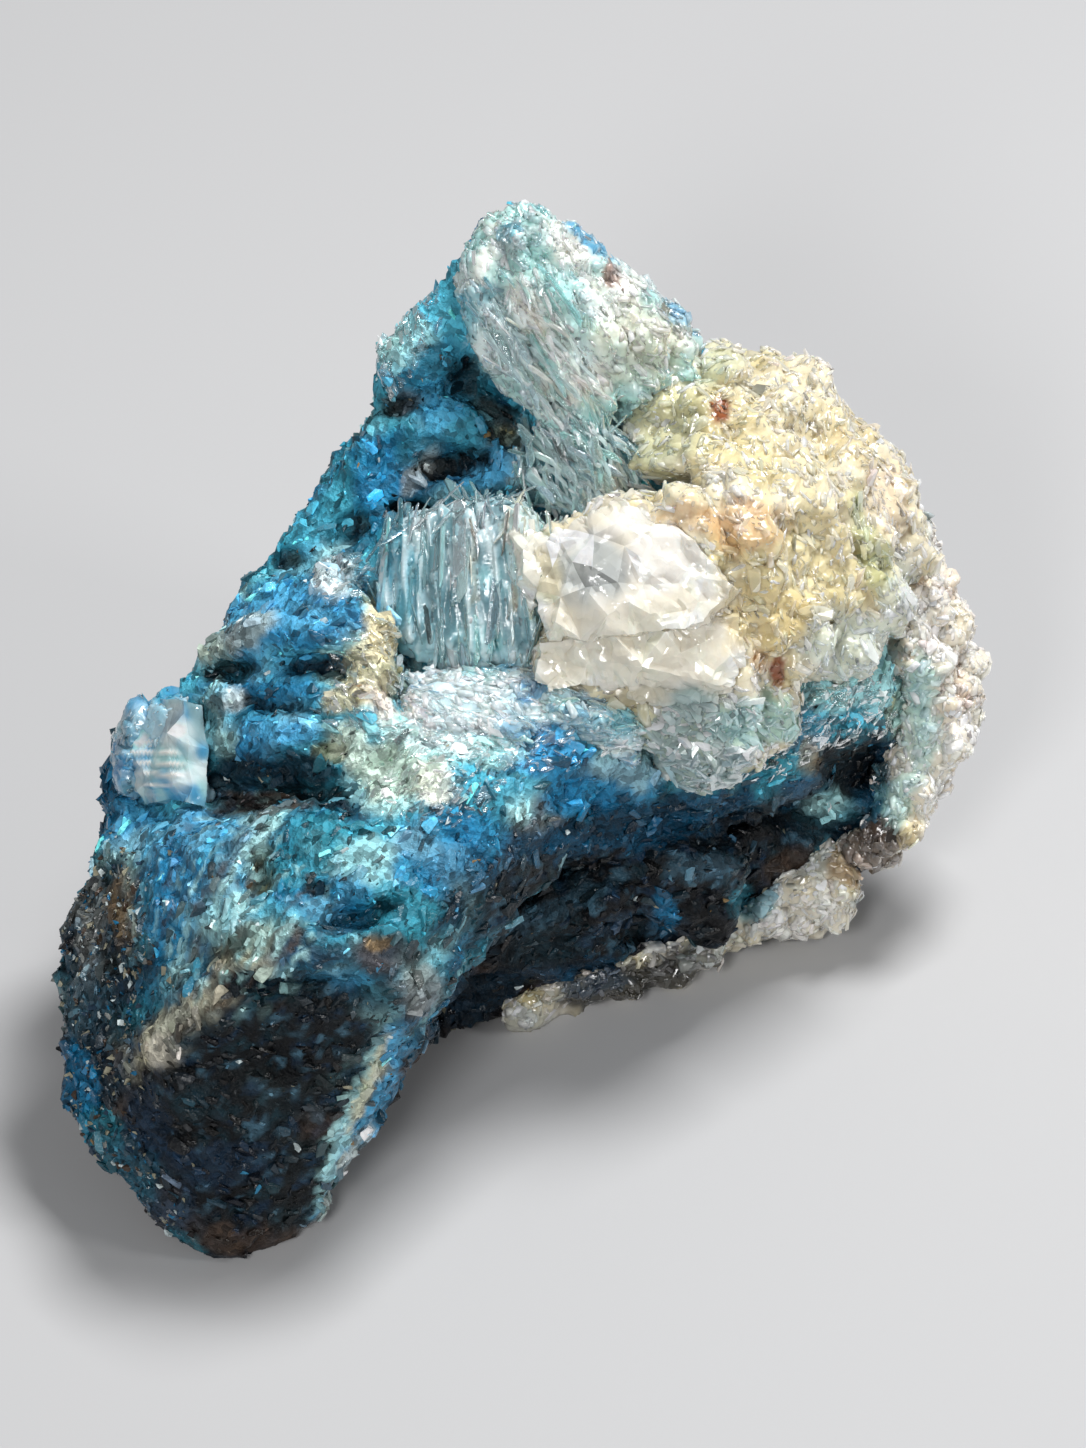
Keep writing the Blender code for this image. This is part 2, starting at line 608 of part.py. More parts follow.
def right_rim():
    """The cream crust down the right side, seen edge-on, with its small spike."""
    grown = Crystals("selenite_right_rim", 67)
    outer = [
        seen(916, 512, 29.5), seen(936, 532, 27.2), seen(944, 556, 25.8), seen(957, 594, 23),
        seen(974, 630, 20), seen(979, 680, 17.5), seen(974, 735, 14.5), seen(958, 780, 12),
        seen(933, 822, 9.5), seen(900, 868, 6.5),
    ]
    inner = [
        seen(902, 530, 31), seen(910, 560, 29.4), seen(916, 590, 27.8), seen(922, 625, 25.4),
        seen(928, 660, 22.8), seen(932, 700, 20), seen(930, 745, 16.6), seen(914, 790, 13.8),
        seen(890, 830, 11.4), seen(866, 866, 8.8),
    ]
    grown.chain(outer, inner, 4.0)
    grown.settle()
    grown.block([
        seen(955, 600, 23.4), seen(971, 594, 23.6), seen(978, 628, 21), seen(958, 632, 21),
        seen(962, 612, 19),
    ])
    grown.scatter([(915, 530), (940, 545), (955, 595), (972, 640), (975, 700), (966, 750), (930, 800),
                   (895, 850), (880, 860), (930, 750), (935, 680), (925, 610), (912, 560)],
                  13, 0.8, (2.8, 4.0), 28)
    return grown


def lower_crust():
    """The cream and grey crust that runs along the lower right edge."""
    grown = Crystals("selenite_lower_crust", 71)
    outer = [
        seen(868, 900, 4.2), seen(847, 930, 2), seen(820, 946, 0.4), seen(770, 942, 0.8),
        seen(726, 960, 0.4), seen(688, 990, -0.6), seen(640, 1000, -0.6), seen(600, 1008, -0.4),
        seen(565, 1020, -0.4), seen(535, 1046, -1), seen(508, 1040, -0.4),
    ]
    inner = [
        seen(848, 868, 8.6), seen(810, 886, 7.4), seen(770, 900, 6.2), seen(742, 925, 4.4),
        seen(712, 952, 3.2), seen(676, 962, 3.4), seen(636, 968, 3.8), seen(600, 978, 3.6),
        seen(566, 990, 3.2), seen(536, 1004, 3), seen(506, 1016, 2.6),
    ]
    grown.chain(outer, inner, 4.5)
    grown.settle()
    grown.scatter([(850, 880), (848, 925), (770, 930), (745, 935), (780, 900)], 6, 0.8, (2.6, 3.8), 26)
    grown.scatter([(720, 950), (690, 985), (600, 1002), (530, 1040), (512, 1030), (600, 985), (680, 968)],
                  6, 0.8, (2.2, 3.2), 26)
    return grown


def colour(obj, rgb, roughness, alpha=1.0):
    """Gives a body its own material, after the look of the mineral."""
    material = bpy.data.materials.new(obj.name)
    material.use_nodes = True
    shader = material.node_tree.nodes["Principled BSDF"]
    shader.inputs["Base Color"].default_value = (*rgb, 1.0)
    shader.inputs["Roughness"].default_value = roughness
    shader.inputs["Metallic"].default_value = 0.0
    shader.inputs["Alpha"].default_value = alpha
    obj.data.materials.clear()
    obj.data.materials.append(material)


def seat(grown, faces, seats, table, parts):
    """Joins a growth's crystals and trims them to sit just clear of what they grow on."""
    obj = placed(joined(grown.meshes, grown.name), grown.name, parts)
    fuse(obj, CRYSTAL_GRID)
    thin_out(obj, min(1.0, 2.5 * faces / len(obj.data.polygons)))
    for cutter in seats:
        cut(obj, cutter)
    keep_largest(obj)
    thin_out(obj, min(1.0, faces / len(obj.data.polygons)))
    cut(obj, table)
    keep_largest(obj)
    return obj


def main():
    clear_scene()
    parts = bpy.data.collections.new("selenite_on_shattuckite")
    cutters = bpy.data.collections.new("cutters")
    bpy.context.scene.collection.children.link(parts)
    bpy.context.scene.collection.children.link(cutters)
    table = table_cutter(cutters)
    rock = stone(parts, table)
    colour(rock, (0.05, 0.24, 0.38), 0.6)
    seats = [seat_cutter(rock, cutters)]
    growths = [
        (dome_crystals, 2600, (0.80, 0.73, 0.52)),
        (peak_crystals, 1500, (0.60, 0.78, 0.76)),
        (blade_bed, 900, (0.50, 0.62, 0.66)),
        (ledge_needles, 700, (0.66, 0.80, 0.88)),
        (left_crystal, 350, (0.52, 0.70, 0.82)),
        (right_rim, 900, (0.82, 0.70, 0.60)),
        (lower_crust, 900, (0.62, 0.58, 0.50)),
    ]
    for growth, faces, rgb in growths:
        obj = seat(growth(), faces, seats, table, parts)
        colour(obj, rgb, 0.3)
        seats.append(seat_cutter(obj, cutters))


main()
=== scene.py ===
"""Looks for the selenite on shattuckite: crystal skins, grown grains and blades, minerals' colours, studio."""

import math

import bmesh
import bpy
import numpy as np
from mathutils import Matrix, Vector, noise
from mathutils.bvhtree import BVHTree
from mathutils.geometry import delaunay_2d_cdt


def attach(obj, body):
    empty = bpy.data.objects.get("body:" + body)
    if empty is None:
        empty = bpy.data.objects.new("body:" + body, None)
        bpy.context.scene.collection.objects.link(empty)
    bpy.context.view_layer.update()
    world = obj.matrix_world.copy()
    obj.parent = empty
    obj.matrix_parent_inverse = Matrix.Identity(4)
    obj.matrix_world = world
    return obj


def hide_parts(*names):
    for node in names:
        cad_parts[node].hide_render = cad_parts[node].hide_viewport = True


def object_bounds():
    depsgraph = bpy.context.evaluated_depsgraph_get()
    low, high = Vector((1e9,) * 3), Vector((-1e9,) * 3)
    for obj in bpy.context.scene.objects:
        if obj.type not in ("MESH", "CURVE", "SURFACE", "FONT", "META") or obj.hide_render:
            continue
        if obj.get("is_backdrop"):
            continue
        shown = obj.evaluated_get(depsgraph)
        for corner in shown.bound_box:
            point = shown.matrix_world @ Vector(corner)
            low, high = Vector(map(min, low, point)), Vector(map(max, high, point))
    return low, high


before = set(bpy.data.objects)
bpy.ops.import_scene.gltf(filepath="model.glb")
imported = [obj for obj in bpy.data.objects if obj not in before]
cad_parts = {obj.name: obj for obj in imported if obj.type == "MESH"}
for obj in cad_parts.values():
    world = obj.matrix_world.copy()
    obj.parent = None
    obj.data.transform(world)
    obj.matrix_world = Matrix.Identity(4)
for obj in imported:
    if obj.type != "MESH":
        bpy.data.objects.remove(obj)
CAD_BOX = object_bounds()

MM = 0.001

# The reference view: its size in pixels, and the same mapping that the solids were drawn with.
VIEW_ELEVATION = math.radians(40)
VIEW_WIDTH_PX = 1086
VIEW_HEIGHT_PX = 1448
SPECIMEN_WIDTH = 65.7
LEFTMOST_PX = 60
RIGHTMOST_PX = 980
FOOT_ROW_PX = 1265
MM_PER_PX = SPECIMEN_WIDTH / (RIGHTMOST_PX - LEFTMOST_PX)
MIDDLE = np.array([37.9, 31.2, 0.0])
TO_VIEWER = np.array([0.0, -math.cos(VIEW_ELEVATION), math.sin(VIEW_ELEVATION)])
VIEW_RIGHT = np.array([1.0, 0.0, 0.0])
VIEW_UP = np.array([0.0, math.sin(VIEW_ELEVATION), math.cos(VIEW_ELEVATION)])
RAY_START = 0.2
LENS = 300.0
SENSOR = 36.0

# Mineral colours as they look in soft light (hex, sRGB).
DEEP_BLUE = "083f5a"
BLUE = "1b74a0"
BRIGHT_BLUE = "4b9fca"
TURQUOISE = "4aa8c0"
TEAL = "2f8699"
PALE_TEAL = "aedcdb"
ICE = "e3f2f3"
# NIGHT is a blue-black mineral colour, and some zones below also use it as painted shadow.
NIGHT = "06212f"
HOST = "07090c"
DARK_TEAL = "10262e"
DARK_NAVY = "12283c"
SLATE = "2b4358"
STEEL = "3a5868"
GREY_STONE = "8b8f8c"
BEIGE_GREY = "aaa68f"
BROWN = "4c3c30"
GOLD = "a0845a"
OLIVE = "6d6634"
CREAM = "f3ecda"
WARM_WHITE = "faf6ee"
YELLOW = "e7dcb4"
OCHRE = "dcca9a"
ORANGE = "e8bf90"
RUST = "8a4418"
GREEN = "c6cca2"
SAGE = "d3dcc4"
PINKISH = "f1e2d3"
CLEAR_GREY = "c3cbcc"
APRON_GREY = "a4c0bf"
GLASS_BLUE = "8aaab0"

# Painted zones: middle in the view's pixels, half-axes, turn clockwise in degrees, colour, strength.
STONE_ZONES = [
    (440, 310, 46, 34, 0, TURQUOISE, 0.8), (425, 372, 40, 40, 0, BLUE, 0.85), (430, 352, 30, 14, 30, DEEP_BLUE, 0.9), (436, 396, 26, 10, -20, NIGHT, 0.8),
    (455, 440, 90, 84, 0, DEEP_BLUE, 0.5), (410, 345, 14, 20, 0, BRIGHT_BLUE, 0.7), (450, 412, 18, 12, 0, BRIGHT_BLUE, 0.7), (402, 328, 26, 42, 20, PALE_TEAL, 0.8), (442, 285, 22, 40, 30, TURQUOISE, 0.8), (440, 400, 24, 26, 0, BRIGHT_BLUE, 0.7),
    (425, 390, 56, 66, 0, TURQUOISE, 0.3), (365, 440, 24, 50, 30, TEAL, 0.8), (375, 470, 26, 40, 0, BLUE, 0.8), (390, 345, 18, 30, 0, PALE_TEAL, 0.7),
    (500, 470, 46, 14, -10, BRIGHT_BLUE, 0.8), (545, 415, 40, 24, 20, TURQUOISE, 0.8),
    (465, 380, 15, 24, 0, HOST, 0.8), (402, 404, 24, 11, -20, BROWN, 0.7), (398, 406, 14, 7, -20, HOST, 0.7),
    (498, 416, 32, 15, 35, HOST, 0.9), (455, 466, 42, 12, -8, HOST, 0.95), (505, 440, 20, 10, 20, OLIVE, 0.6),
    (415, 520, 30, 17, 20, HOST, 0.95), (420, 470, 34, 9, -50, GREY_STONE, 0.6),
    # The small NIGHT spot at (600, 492) on the next line is a painted shadow in a gap of the cleft among the clear
    # blades.
    (575, 470, 62, 44, 0, GLASS_BLUE, 0.85), (600, 492, 12, 7, 0, NIGHT, 0.7), (350, 530, 24, 13, -30, NIGHT, 0.9), (320, 520, 30, 26, 0, TURQUOISE, 0.6),
    (288, 562, 14, 10, 0, HOST, 0.75), (262, 585, 18, 28, 0, TEAL, 0.8),
    # The ICE spot at (338, 578) on the next line is partly the knob's pale mineral and partly a painted highlight where
    # its top catches the light.
    (300, 612, 84, 36, -12, BRIGHT_BLUE, 0.85), (270, 690, 50, 60, 0, BRIGHT_BLUE, 0.35), (338, 578, 24, 20, 0, ICE, 0.85),
    (372, 580, 22, 34, 0, TURQUOISE, 0.8), (240, 636, 46, 15, -25, BEIGE_GREY, 0.6),
    (305, 640, 44, 10, 0, BLUE, 0.7), (235, 672, 27, 11, -8, HOST, 0.9), (322, 668, 36, 13, 0, NIGHT, 0.95),
    (238, 700, 14, 12, 0, ICE, 0.8), (280, 690, 40, 10, 0, BLUE, 0.8), (276, 708, 40, 8, 4, NIGHT, 0.8),
    (280, 733, 44, 12, 0, BRIGHT_BLUE, 0.75), (214, 716, 14, 20, 10, BROWN, 0.6), (333, 752, 22, 11, 0, OLIVE, 0.75),
    (384, 622, 17, 40, -8, OCHRE, 0.8), (372, 672, 24, 40, 14, YELLOW, 0.8), (346, 700, 22, 16, 0, OCHRE, 0.7),
    (392, 722, 13, 46, -32, PINKISH, 0.8), (398, 684, 15, 17, 0, OLIVE, 0.6), (352, 742, 18, 20, -20, SAGE, 0.6),
    # The first two zones on the next line are painted shadow in the knob's deep crevices, laid in the pits they sink.
    (262, 770, 84, 17, 3, NIGHT, 0.95), (310, 798, 60, 12, 3, HOST, 0.9), (262, 806, 46, 10, 0, BROWN, 0.7),
    (200, 740, 20, 40, 0, TEAL, 0.6), (120, 785, 36, 30, 0, BLUE, 0.85), (130, 825, 36, 30, 0, BRIGHT_BLUE, 0.6), (105, 800, 14, 40, 0, DEEP_BLUE, 0.7),
    (205, 860, 60, 50, 0, BRIGHT_BLUE, 0.6), (220, 905, 40, 30, 0, PALE_TEAL, 0.4), (232, 862, 10, 40, 30, BROWN, 0.5),
    (266, 868, 16, 25, 10, OLIVE, 0.85), (262, 874, 10, 16, 10, HOST, 0.8),
    (330, 850, 60, 40, 0, TEAL, 0.8), (400, 775, 50, 30, 0, PALE_TEAL, 0.85), (440, 785, 26, 22, 0, CREAM, 0.7),
    (372, 862, 34, 26, 0, PALE_TEAL, 0.5), (400, 905, 50, 34, 0, TEAL, 0.8), (340, 900, 40, 30, 0, BLUE, 0.7), (450, 850, 50, 40, 0, BLUE, 0.7), (352, 916, 34, 11, -14, NIGHT, 0.7), (322, 884, 12, 8, 20, NIGHT, 0.7), (392, 902, 14, 8, 0, NIGHT, 0.7),
    (500, 775, 46, 34, 0, TURQUOISE, 0.7), (545, 745, 34, 26, 0, BRIGHT_BLUE, 0.8), (530, 745, 44, 30, 20, BRIGHT_BLUE, 0.8),
    (450, 738, 66, 26, 8, PALE_TEAL, 0.85), (440, 742, 40, 12, 8, ICE, 0.6), (390, 768, 40, 22, 0, SAGE, 0.6), (480, 850, 50, 34, 0, BLUE, 0.6), (180, 900, 30, 60, 10, BLUE, 0.8),
    (212, 998, 104, 21, -40, BEIGE_GREY, 0.75), (232, 992, 70, 6, -40, BROWN, 0.6), (172, 1046, 18, 16, 0, CREAM, 0.7), (250, 940, 40, 18, -20, OLIVE, 0.4),
    # The NIGHT band on the next line is a painted shadow along the lobe's edge, laid in the pit it sinks.
    (312, 945, 44, 12, 0, SLATE, 0.6), (290, 978, 66, 13, -4, NIGHT, 0.95), (345, 972, 36, 9, 0, BRIGHT_BLUE, 0.4),
    (392, 948, 34, 17, 0, BROWN, 0.6), (424, 985, 24, 24, 0, GREY_STONE, 0.7), (382, 940, 12, 9, 0, GOLD, 0.6),
    (536, 850, 26, 46, 20, BROWN, 0.75), (540, 846, 16, 40, 20, GREY_STONE, 0.5),
    (104, 950, 44, 90, 0, HOST, 0.85), (92, 930, 20, 60, 0, GREY_STONE, 0.35), (88, 1000, 22, 40, 0, STEEL, 0.5), (130, 905, 17, 36, 0, GOLD, 0.3), (92, 1070, 34, 44, 0, NIGHT, 0.8),
    (86, 1085, 16, 50, -10, BLUE, 0.6), (120, 1150, 26, 60, -35, TEAL, 0.5), (150, 1190, 26, 60, -40, SLATE, 0.5),
    (265, 1115, 112, 112, 0, HOST, 0.97), (312, 1030, 66, 46, -15, HOST, 0.97), (205, 1095, 30, 18, 0, DARK_TEAL, 0.8), (225, 1160, 50, 22, 0, DARK_NAVY, 0.7), (150, 1120, 24, 40, 0, DARK_NAVY, 0.7),
    (322, 1118, 20, 16, 0, BROWN, 0.4), (362, 1130, 20, 115, 22, BRIGHT_BLUE, 0.8), (352, 1110, 9, 90, 22, PALE_TEAL, 0.7), (338, 1190, 10, 60, 22, BEIGE_GREY, 0.7), (372, 1080, 8, 50, 22, OCHRE, 0.6), (356, 1160, 6, 50, 22, ICE, 0.6),
    (250, 1236, 52, 16, 0, BROWN, 0.6), (185, 1240, 24, 15, 20, TEAL, 0.5),
    (640, 880, 190, 80, -8, HOST, 0.95), (640, 824, 130, 24, -10, DEEP_BLUE, 0.9), (620, 818, 70, 14, -10, NIGHT, 0.5), (560, 905, 60, 14, -24, STEEL, 0.6), (700, 868, 34, 13, -8, STEEL, 0.7), (668, 930, 26, 18, 20, SLATE, 0.6), (620, 925, 34, 10, -24, SLATE, 0.5), (742, 902, 14, 18, 0, TURQUOISE, 0.5),
    (760, 830, 60, 20, -12, HOST, 0.8), (700, 925, 40, 28, 0, HOST, 0.8),
    (666, 915, 12, 20, -20, BLUE, 0.6), (480, 1000, 46, 26, -15, NIGHT, 0.7), (600, 975, 60, 18, -15, DEEP_BLUE, 0.7), (540, 950, 40, 20, -15, DARK_TEAL, 0.7),
    (600, 785, 60, 26, -6, BLUE, 0.85), (560, 760, 40, 24, 0, BLUE, 0.7), (640, 760, 56, 26, 0, GLASS_BLUE, 0.7),
    (745, 765, 60, 22, -10, TEAL, 0.8), (830, 705, 80, 36, 0, TURQUOISE, 0.8), (850, 690, 70, 26, 0, PALE_TEAL, 0.7),
    (884, 775, 34, 32, 0, DEEP_BLUE, 0.9), (904, 714, 14, 24, 0, OLIVE, 0.85), (853, 766, 34, 27, -10, HOST, 0.95),
    (810, 755, 12, 20, 0, GOLD, 0.6), (925, 730, 26, 80, 0, PALE_TEAL, 0.75), (860, 830, 54, 20, -10, NIGHT, 0.8),
    (800, 872, 40, 18, -10, BROWN, 0.6), (836, 862, 20, 14, 0, TURQUOISE, 0.6),
]
DOME_ZONES = [
    (668, 425, 50, 42, 0, GREEN, 0.6), (700, 362, 44, 24, 10, SAGE, 0.7), (770, 440, 76, 54, 0, YELLOW, 0.65),
    (805, 575, 76, 66, 0, YELLOW, 0.8), (765, 620, 50, 34, 0, OCHRE, 0.7), (742, 530, 40, 28, 0, ORANGE, 0.65),
    (684, 520, 34, 18, 0, ORANGE, 0.5), (872, 540, 17, 52, -14, GREEN, 0.8), (822, 410, 60, 48, 0, CREAM, 0.6), (850, 430, 30, 40, -20, OCHRE, 0.4),
    (892, 500, 24, 44, 0, PINKISH, 0.75), (720, 411, 10, 14, 0, RUST, 0.95), (776, 672, 9, 16, -15, RUST, 0.95),
    (757, 660, 9, 9, 0, ORANGE, 0.8), (590, 570, 38, 32, 0, CLEAR_GREY, 0.75), (664, 562, 40, 30, 0, WARM_WHITE, 0.9),
    (545, 575, 18, 30, 0, YELLOW, 0.6), (630, 662, 96, 26, 0, CREAM, 0.7), (650, 694, 60, 8, 0, BEIGE_GREY, 0.5),
    (695, 742, 58, 54, 0, APRON_GREY, 0.85), (700, 775, 60, 22, 0, GLASS_BLUE, 0.6), (765, 722, 50, 28, 0, PALE_TEAL, 0.85), (850, 650, 54, 34, 0, ICE, 0.75),
    (645, 470, 30, 26, 0, SAGE, 0.5), (905, 620, 24, 60, 0, ICE, 0.6),
]
PEAK_ZONES = [
    (520, 215, 40, 14, 0, PALE_TEAL, 0.8), (510, 236, 13, 10, 0, TURQUOISE, 0.7), (548, 286, 34, 14, 0, PALE_TEAL, 0.6),
    (458, 326, 24, 32, 0, TURQUOISE, 0.7), (508, 336, 50, 20, 62, GLASS_BLUE, 0.5), (592, 246, 32, 9, 30, BRIGHT_BLUE, 0.9),
    (682, 320, 28, 15, 38, BRIGHT_BLUE, 0.8), (612, 280, 8, 13, 0, RUST, 0.7), (665, 311, 6, 7, 0, OLIVE, 0.8),
    (575, 430, 54, 26, 0, PALE_TEAL, 0.7), (540, 330, 16, 50, -35, WARM_WHITE, 0.6), (640, 345, 50, 40, 0, SAGE, 0.4), (655, 345, 40, 34, 30, CREAM, 0.6), (545, 206, 14, 8, 0, TURQUOISE, 0.6),
    (480, 300, 20, 12, 0, TURQUOISE, 0.5),
]
BLADE_ZONES = [
    (522, 560, 20, 54, 0, ICE, 0.5), (530, 552, 22, 46, -15, CREAM, 0.75), (472, 570, 5, 44, 0, GOLD, 0.5),
    (515, 600, 4, 14, 0, ORANGE, 0.6), (398, 565, 16, 60, 0, TURQUOISE, 0.5), (470, 658, 74, 10, 0, ICE, 0.8),
]
LEDGE_ZONES = [
    (540, 742, 30, 22, 0, BRIGHT_BLUE, 0.7), (460, 705, 70, 26, 0, ICE, 0.9), (398, 704, 20, 20, 0, PINKISH, 0.7),
    (605, 712, 44, 30, 0, TURQUOISE, 0.55), (585, 700, 26, 10, 20, ICE, 0.6),
]
LEFT_ZONES = [(106, 772, 16, 40, 0, BLUE, 0.8), (176, 728, 12, 26, 0, CLEAR_GREY, 0.6)]
RIM_ZONES = [
    (916, 566, 10, 26, 0, ORANGE, 0.6), (926, 516, 14, 10, 0, GLASS_BLUE, 0.7), (925, 725, 22, 64, 0, PALE_TEAL, 0.6), (868, 792, 30, 40, 20, TEAL, 0.9), (876, 824, 30, 26, 0, DEEP_BLUE, 0.85), (905, 800, 14, 30, 20, PALE_TEAL, 0.7), (880, 772, 16, 18, 0, NIGHT, 0.8),
    (884, 848, 38, 30, 0, BROWN, 0.9), (925, 700, 12, 60, 0, PALE_TEAL, 0.5), (915, 835, 12, 22, 20, OCHRE, 0.6),
]
LOWER_ZONES = [
    (820, 922, 54, 24, 0, WARM_WHITE, 0.8), (866, 868, 36, 24, 0, GOLD, 0.85), (880, 856, 20, 16, 0, BROWN, 0.6), (530, 1030, 34, 18, 0, CLEAR_GREY, 0.7),
    (640, 985, 95, 26, -10, HOST, 0.93), (600, 985, 40, 10, -10, SLATE, 0.6), (700, 968, 20, 8, 0, GREY_STONE, 0.7), (760, 902, 22, 20, 0, TURQUOISE, 0.7),
]


STONE_FLOW = [
    (430, 400, 70, 65), (300, 640, 70, -12), (360, 690, 40, 55), (240, 900, 80, -58), (380, 850, 70, -50),
    (100, 950, 50, 96), (100, 1120, 60, 75), (265, 1115, 70, 20), (346, 1130, 30, 112), (535, 850, 30, 110),
    (640, 880, 90, -15), (840, 710, 70, -20), (580, 480, 50, 120), (500, 760, 60, -30), (330, 520, 50, -50),
]
# Where small clear crystals run out over the stone, and where clear blades stand in the cleft.
FRINGE = [
    (575, 440, 60, 40, 0), (405, 335, 26, 56, 20), (560, 500, 60, 34, 0), (820, 705, 90, 40, 0), (760, 750, 70, 26, -10),
    (480, 745, 100, 32, 0), (925, 740, 30, 90, 0), (370, 680, 40, 60, 30), (440, 790, 60, 30, 0), (345, 580, 30, 24, 0),
]
# The part of the front lobe with bands running down it, and their direction in degrees.
STREAKED = (235, 900, 95, 100, 0)
STREAK_TURN = -58
CLEFT = [(528, 446), (560, 428), (606, 420), (640, 452), (640, 486), (606, 506), (566, 520), (530, 500), (516, 470)]
# Where the dark host rock glitters with small loose-grown grains.
GLITTER = [(105, 960, 50, 130, 0), (130, 1160, 30, 90, -35)]
# Outlines of the cleaved plates in the view's pixels.
PLATE = [(535, 550), (554, 530), (586, 519), (612, 497), (636, 512), (652, 526), (702, 560), (728, 588), (700, 622),
         (640, 632), (590, 640), (548, 640), (538, 612)]
SHELF = [(541, 646), (600, 636), (680, 628), (736, 620), (742, 668), (727, 688), (690, 694), (640, 684), (604, 692),
         (580, 684), (550, 692), (536, 682)]
CLEAR_PART = (590, 566, 44, 36, 0)
LEFT_CLEAR = (145, 725, 40, 26, 0)
LEFT_RIBS = (150, 766, 36, 26, 0)
LEFT_FACE = [(110, 742), (126, 716), (156, 697), (182, 700), (190, 744), (186, 800), (156, 800), (124, 788), (108, 766)]
LOWER_PLATE = [(624, 686), (700, 684), (730, 690), (716, 704), (691, 709), (650, 706), (634, 700)]
LEAF = [(503, 508), (528, 522), (545, 545), (536, 590), (526, 612), (516, 575)]
# How far small dark and pale zones sink and stand out, in mm.
ZONE_HEIGHTS = {HOST: -1.1, NIGHT: -1.1, OLIVE: -0.6, ICE: 0.5, PALE_TEAL: 0.35, CREAM: 0.35, BEIGE_GREY: 0.8}
LARGEST_PIT = 30


def linear(code):
    """A hex colour as the shader's linear numbers."""
    parts = np.array([int(code[i:i + 2], 16) for i in (0, 2, 4)]) / 255
    return np.where(parts < 0.04045, parts / 12.92, ((parts + 0.055) / 1.055) ** 2.4)


def to_pixels(places):
    """The view's pixel columns and rows of some places in metres."""
    mm = places / MM + MIDDLE
    up = mm[:, 1] * math.sin(VIEW_ELEVATION) + mm[:, 2] * math.cos(VIEW_ELEVATION)
    return mm[:, 0] / MM_PER_PX, FOOT_ROW_PX - up / MM_PER_PX


def wobble(places, wavelength, seed):
    """A smooth pseudo-random vector at each place, for ragged borders and drift of tone."""
    shift = Vector((seed * 7.31, seed * 3.17, seed * 5.93))
    step = 1.0 / (wavelength * MM)
    return np.array([noise.noise_vector(Vector(p) * step + shift) for p in places])


def inside(columns, rows, column, row, half_x, half_y, turn):
    """How far each pixel place lies inside a soft-edged ellipse."""
    angle = math.radians(turn)
    across, down = columns - column, rows - row
    along = (across * math.cos(angle) + down * math.sin(angle)) / half_x
    aside = (down * math.cos(angle) - across * math.sin(angle)) / half_y
    share = np.clip((1.25 - np.hypot(along, aside)) / 0.5, 0, 1)
    return share * share * (3 - 2 * share)


def zone_shares(places, zones):
    """Each zone with its share at every place; ragged borders, finer round the small zones."""
    columns, rows = to_pixels(places)
    drift = wobble(places, 2.4, 3) * 15 + wobble(places, 0.9, 4) * 9
    for column, row, half_x, half_y, turn, code, strength in zones:
        raggedness = min(1.0, (half_x + half_y) / 80)
        share = inside(
            columns + drift[:, 0] * raggedness, rows + drift[:, 1] * raggedness, column, row, half_x, half_y, turn
        )
        yield share, min(half_x, half_y), code, strength


def paint(places, normals, ground, zones):
    """Mineral colours, and the painted shadows and highlight that some zones carry: the ground's, then each zone laid
    over it where the surface faces the viewer.
    """
    colours = ground.copy()
    seen_share = np.clip((normals @ TO_VIEWER + 0.15) / 0.3, 0, 1)
    mottled = mix_palette(places, [HOST, HOST, HOST, DARK_TEAL, HOST, STEEL, HOST, HOST, DARK_NAVY], 1.1, 70, 5.0)
    for share, half_width, code, strength in zone_shares(places, zones):
        share = (share * strength * seen_share)[:, None]
        colour = mottled if code == HOST and half_width >= LARGEST_PIT else linear(code)
        colours = colours * (1 - share) + colour * share
    return colours


def zone_relief(places, normals, zones):
    """Small dark zones lie in pits and pale ones stand proud, in mm."""
    height = np.zeros(len(places))
    seen_share = np.clip(normals @ TO_VIEWER, 0, 1)
    for share, half_width, code, _ in zone_shares(places, zones):
        if code in ZONE_HEIGHTS and half_width < LARGEST_PIT:
            height += share * ZONE_HEIGHTS[code] * seen_share
    return height


def mix_palette(places, codes, wavelength, seed, sharpness=1.6):
    """Soft-edged patches of several mineral colours."""
    weights = []
    for number in range(len(codes)):
        field = wobble(places, wavelength, seed + number)
        weights.append(np.exp(sharpness * 4 * field[:, 0]))
    weights = np.array(weights)
    weights /= weights.sum(axis=0)
    return sum(weights[i][:, None] * linear(code) for i, code in enumerate(codes))


def mesh_arrays(mesh):
    """Vertex places, vertex normals and triangles of a mesh."""
    places = np.empty(len(mesh.vertices) * 3)
    mesh.vertices.foreach_get("co", places)
    normals = np.empty(len(mesh.vertices) * 3)
    mesh.vertices.foreach_get("normal", normals)
    mesh.calc_loop_triangles()
    corners = np.empty(len(mesh.loop_triangles) * 3, dtype=np.int64)
    mesh.loop_triangles.foreach_get("vertices", corners)
    return places.reshape(-1, 3), normals.reshape(-1, 3), corners.reshape(-1, 3)


def write_tint(mesh, colours, domain="POINT"):
    """Stores the painted colours on the mesh's points, or on its faces' corners, for its material."""
    layer = mesh.color_attributes.new("tint", "FLOAT_COLOR", domain)
    flat = np.ones((len(colours), 4))
    flat[:, :3] = np.clip(colours, 0, 1)
    layer.data.foreach_set("color", flat.ravel())


def show(mesh, name, material, slot, smooth=False):
    if smooth:
        mesh.shade_smooth()
    piece = bpy.data.objects.new(name, mesh)
    bpy.context.scene.collection.objects.link(piece)
    mesh.materials.clear()
    mesh.materials.append(material)
    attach(piece, "root")
    return piece


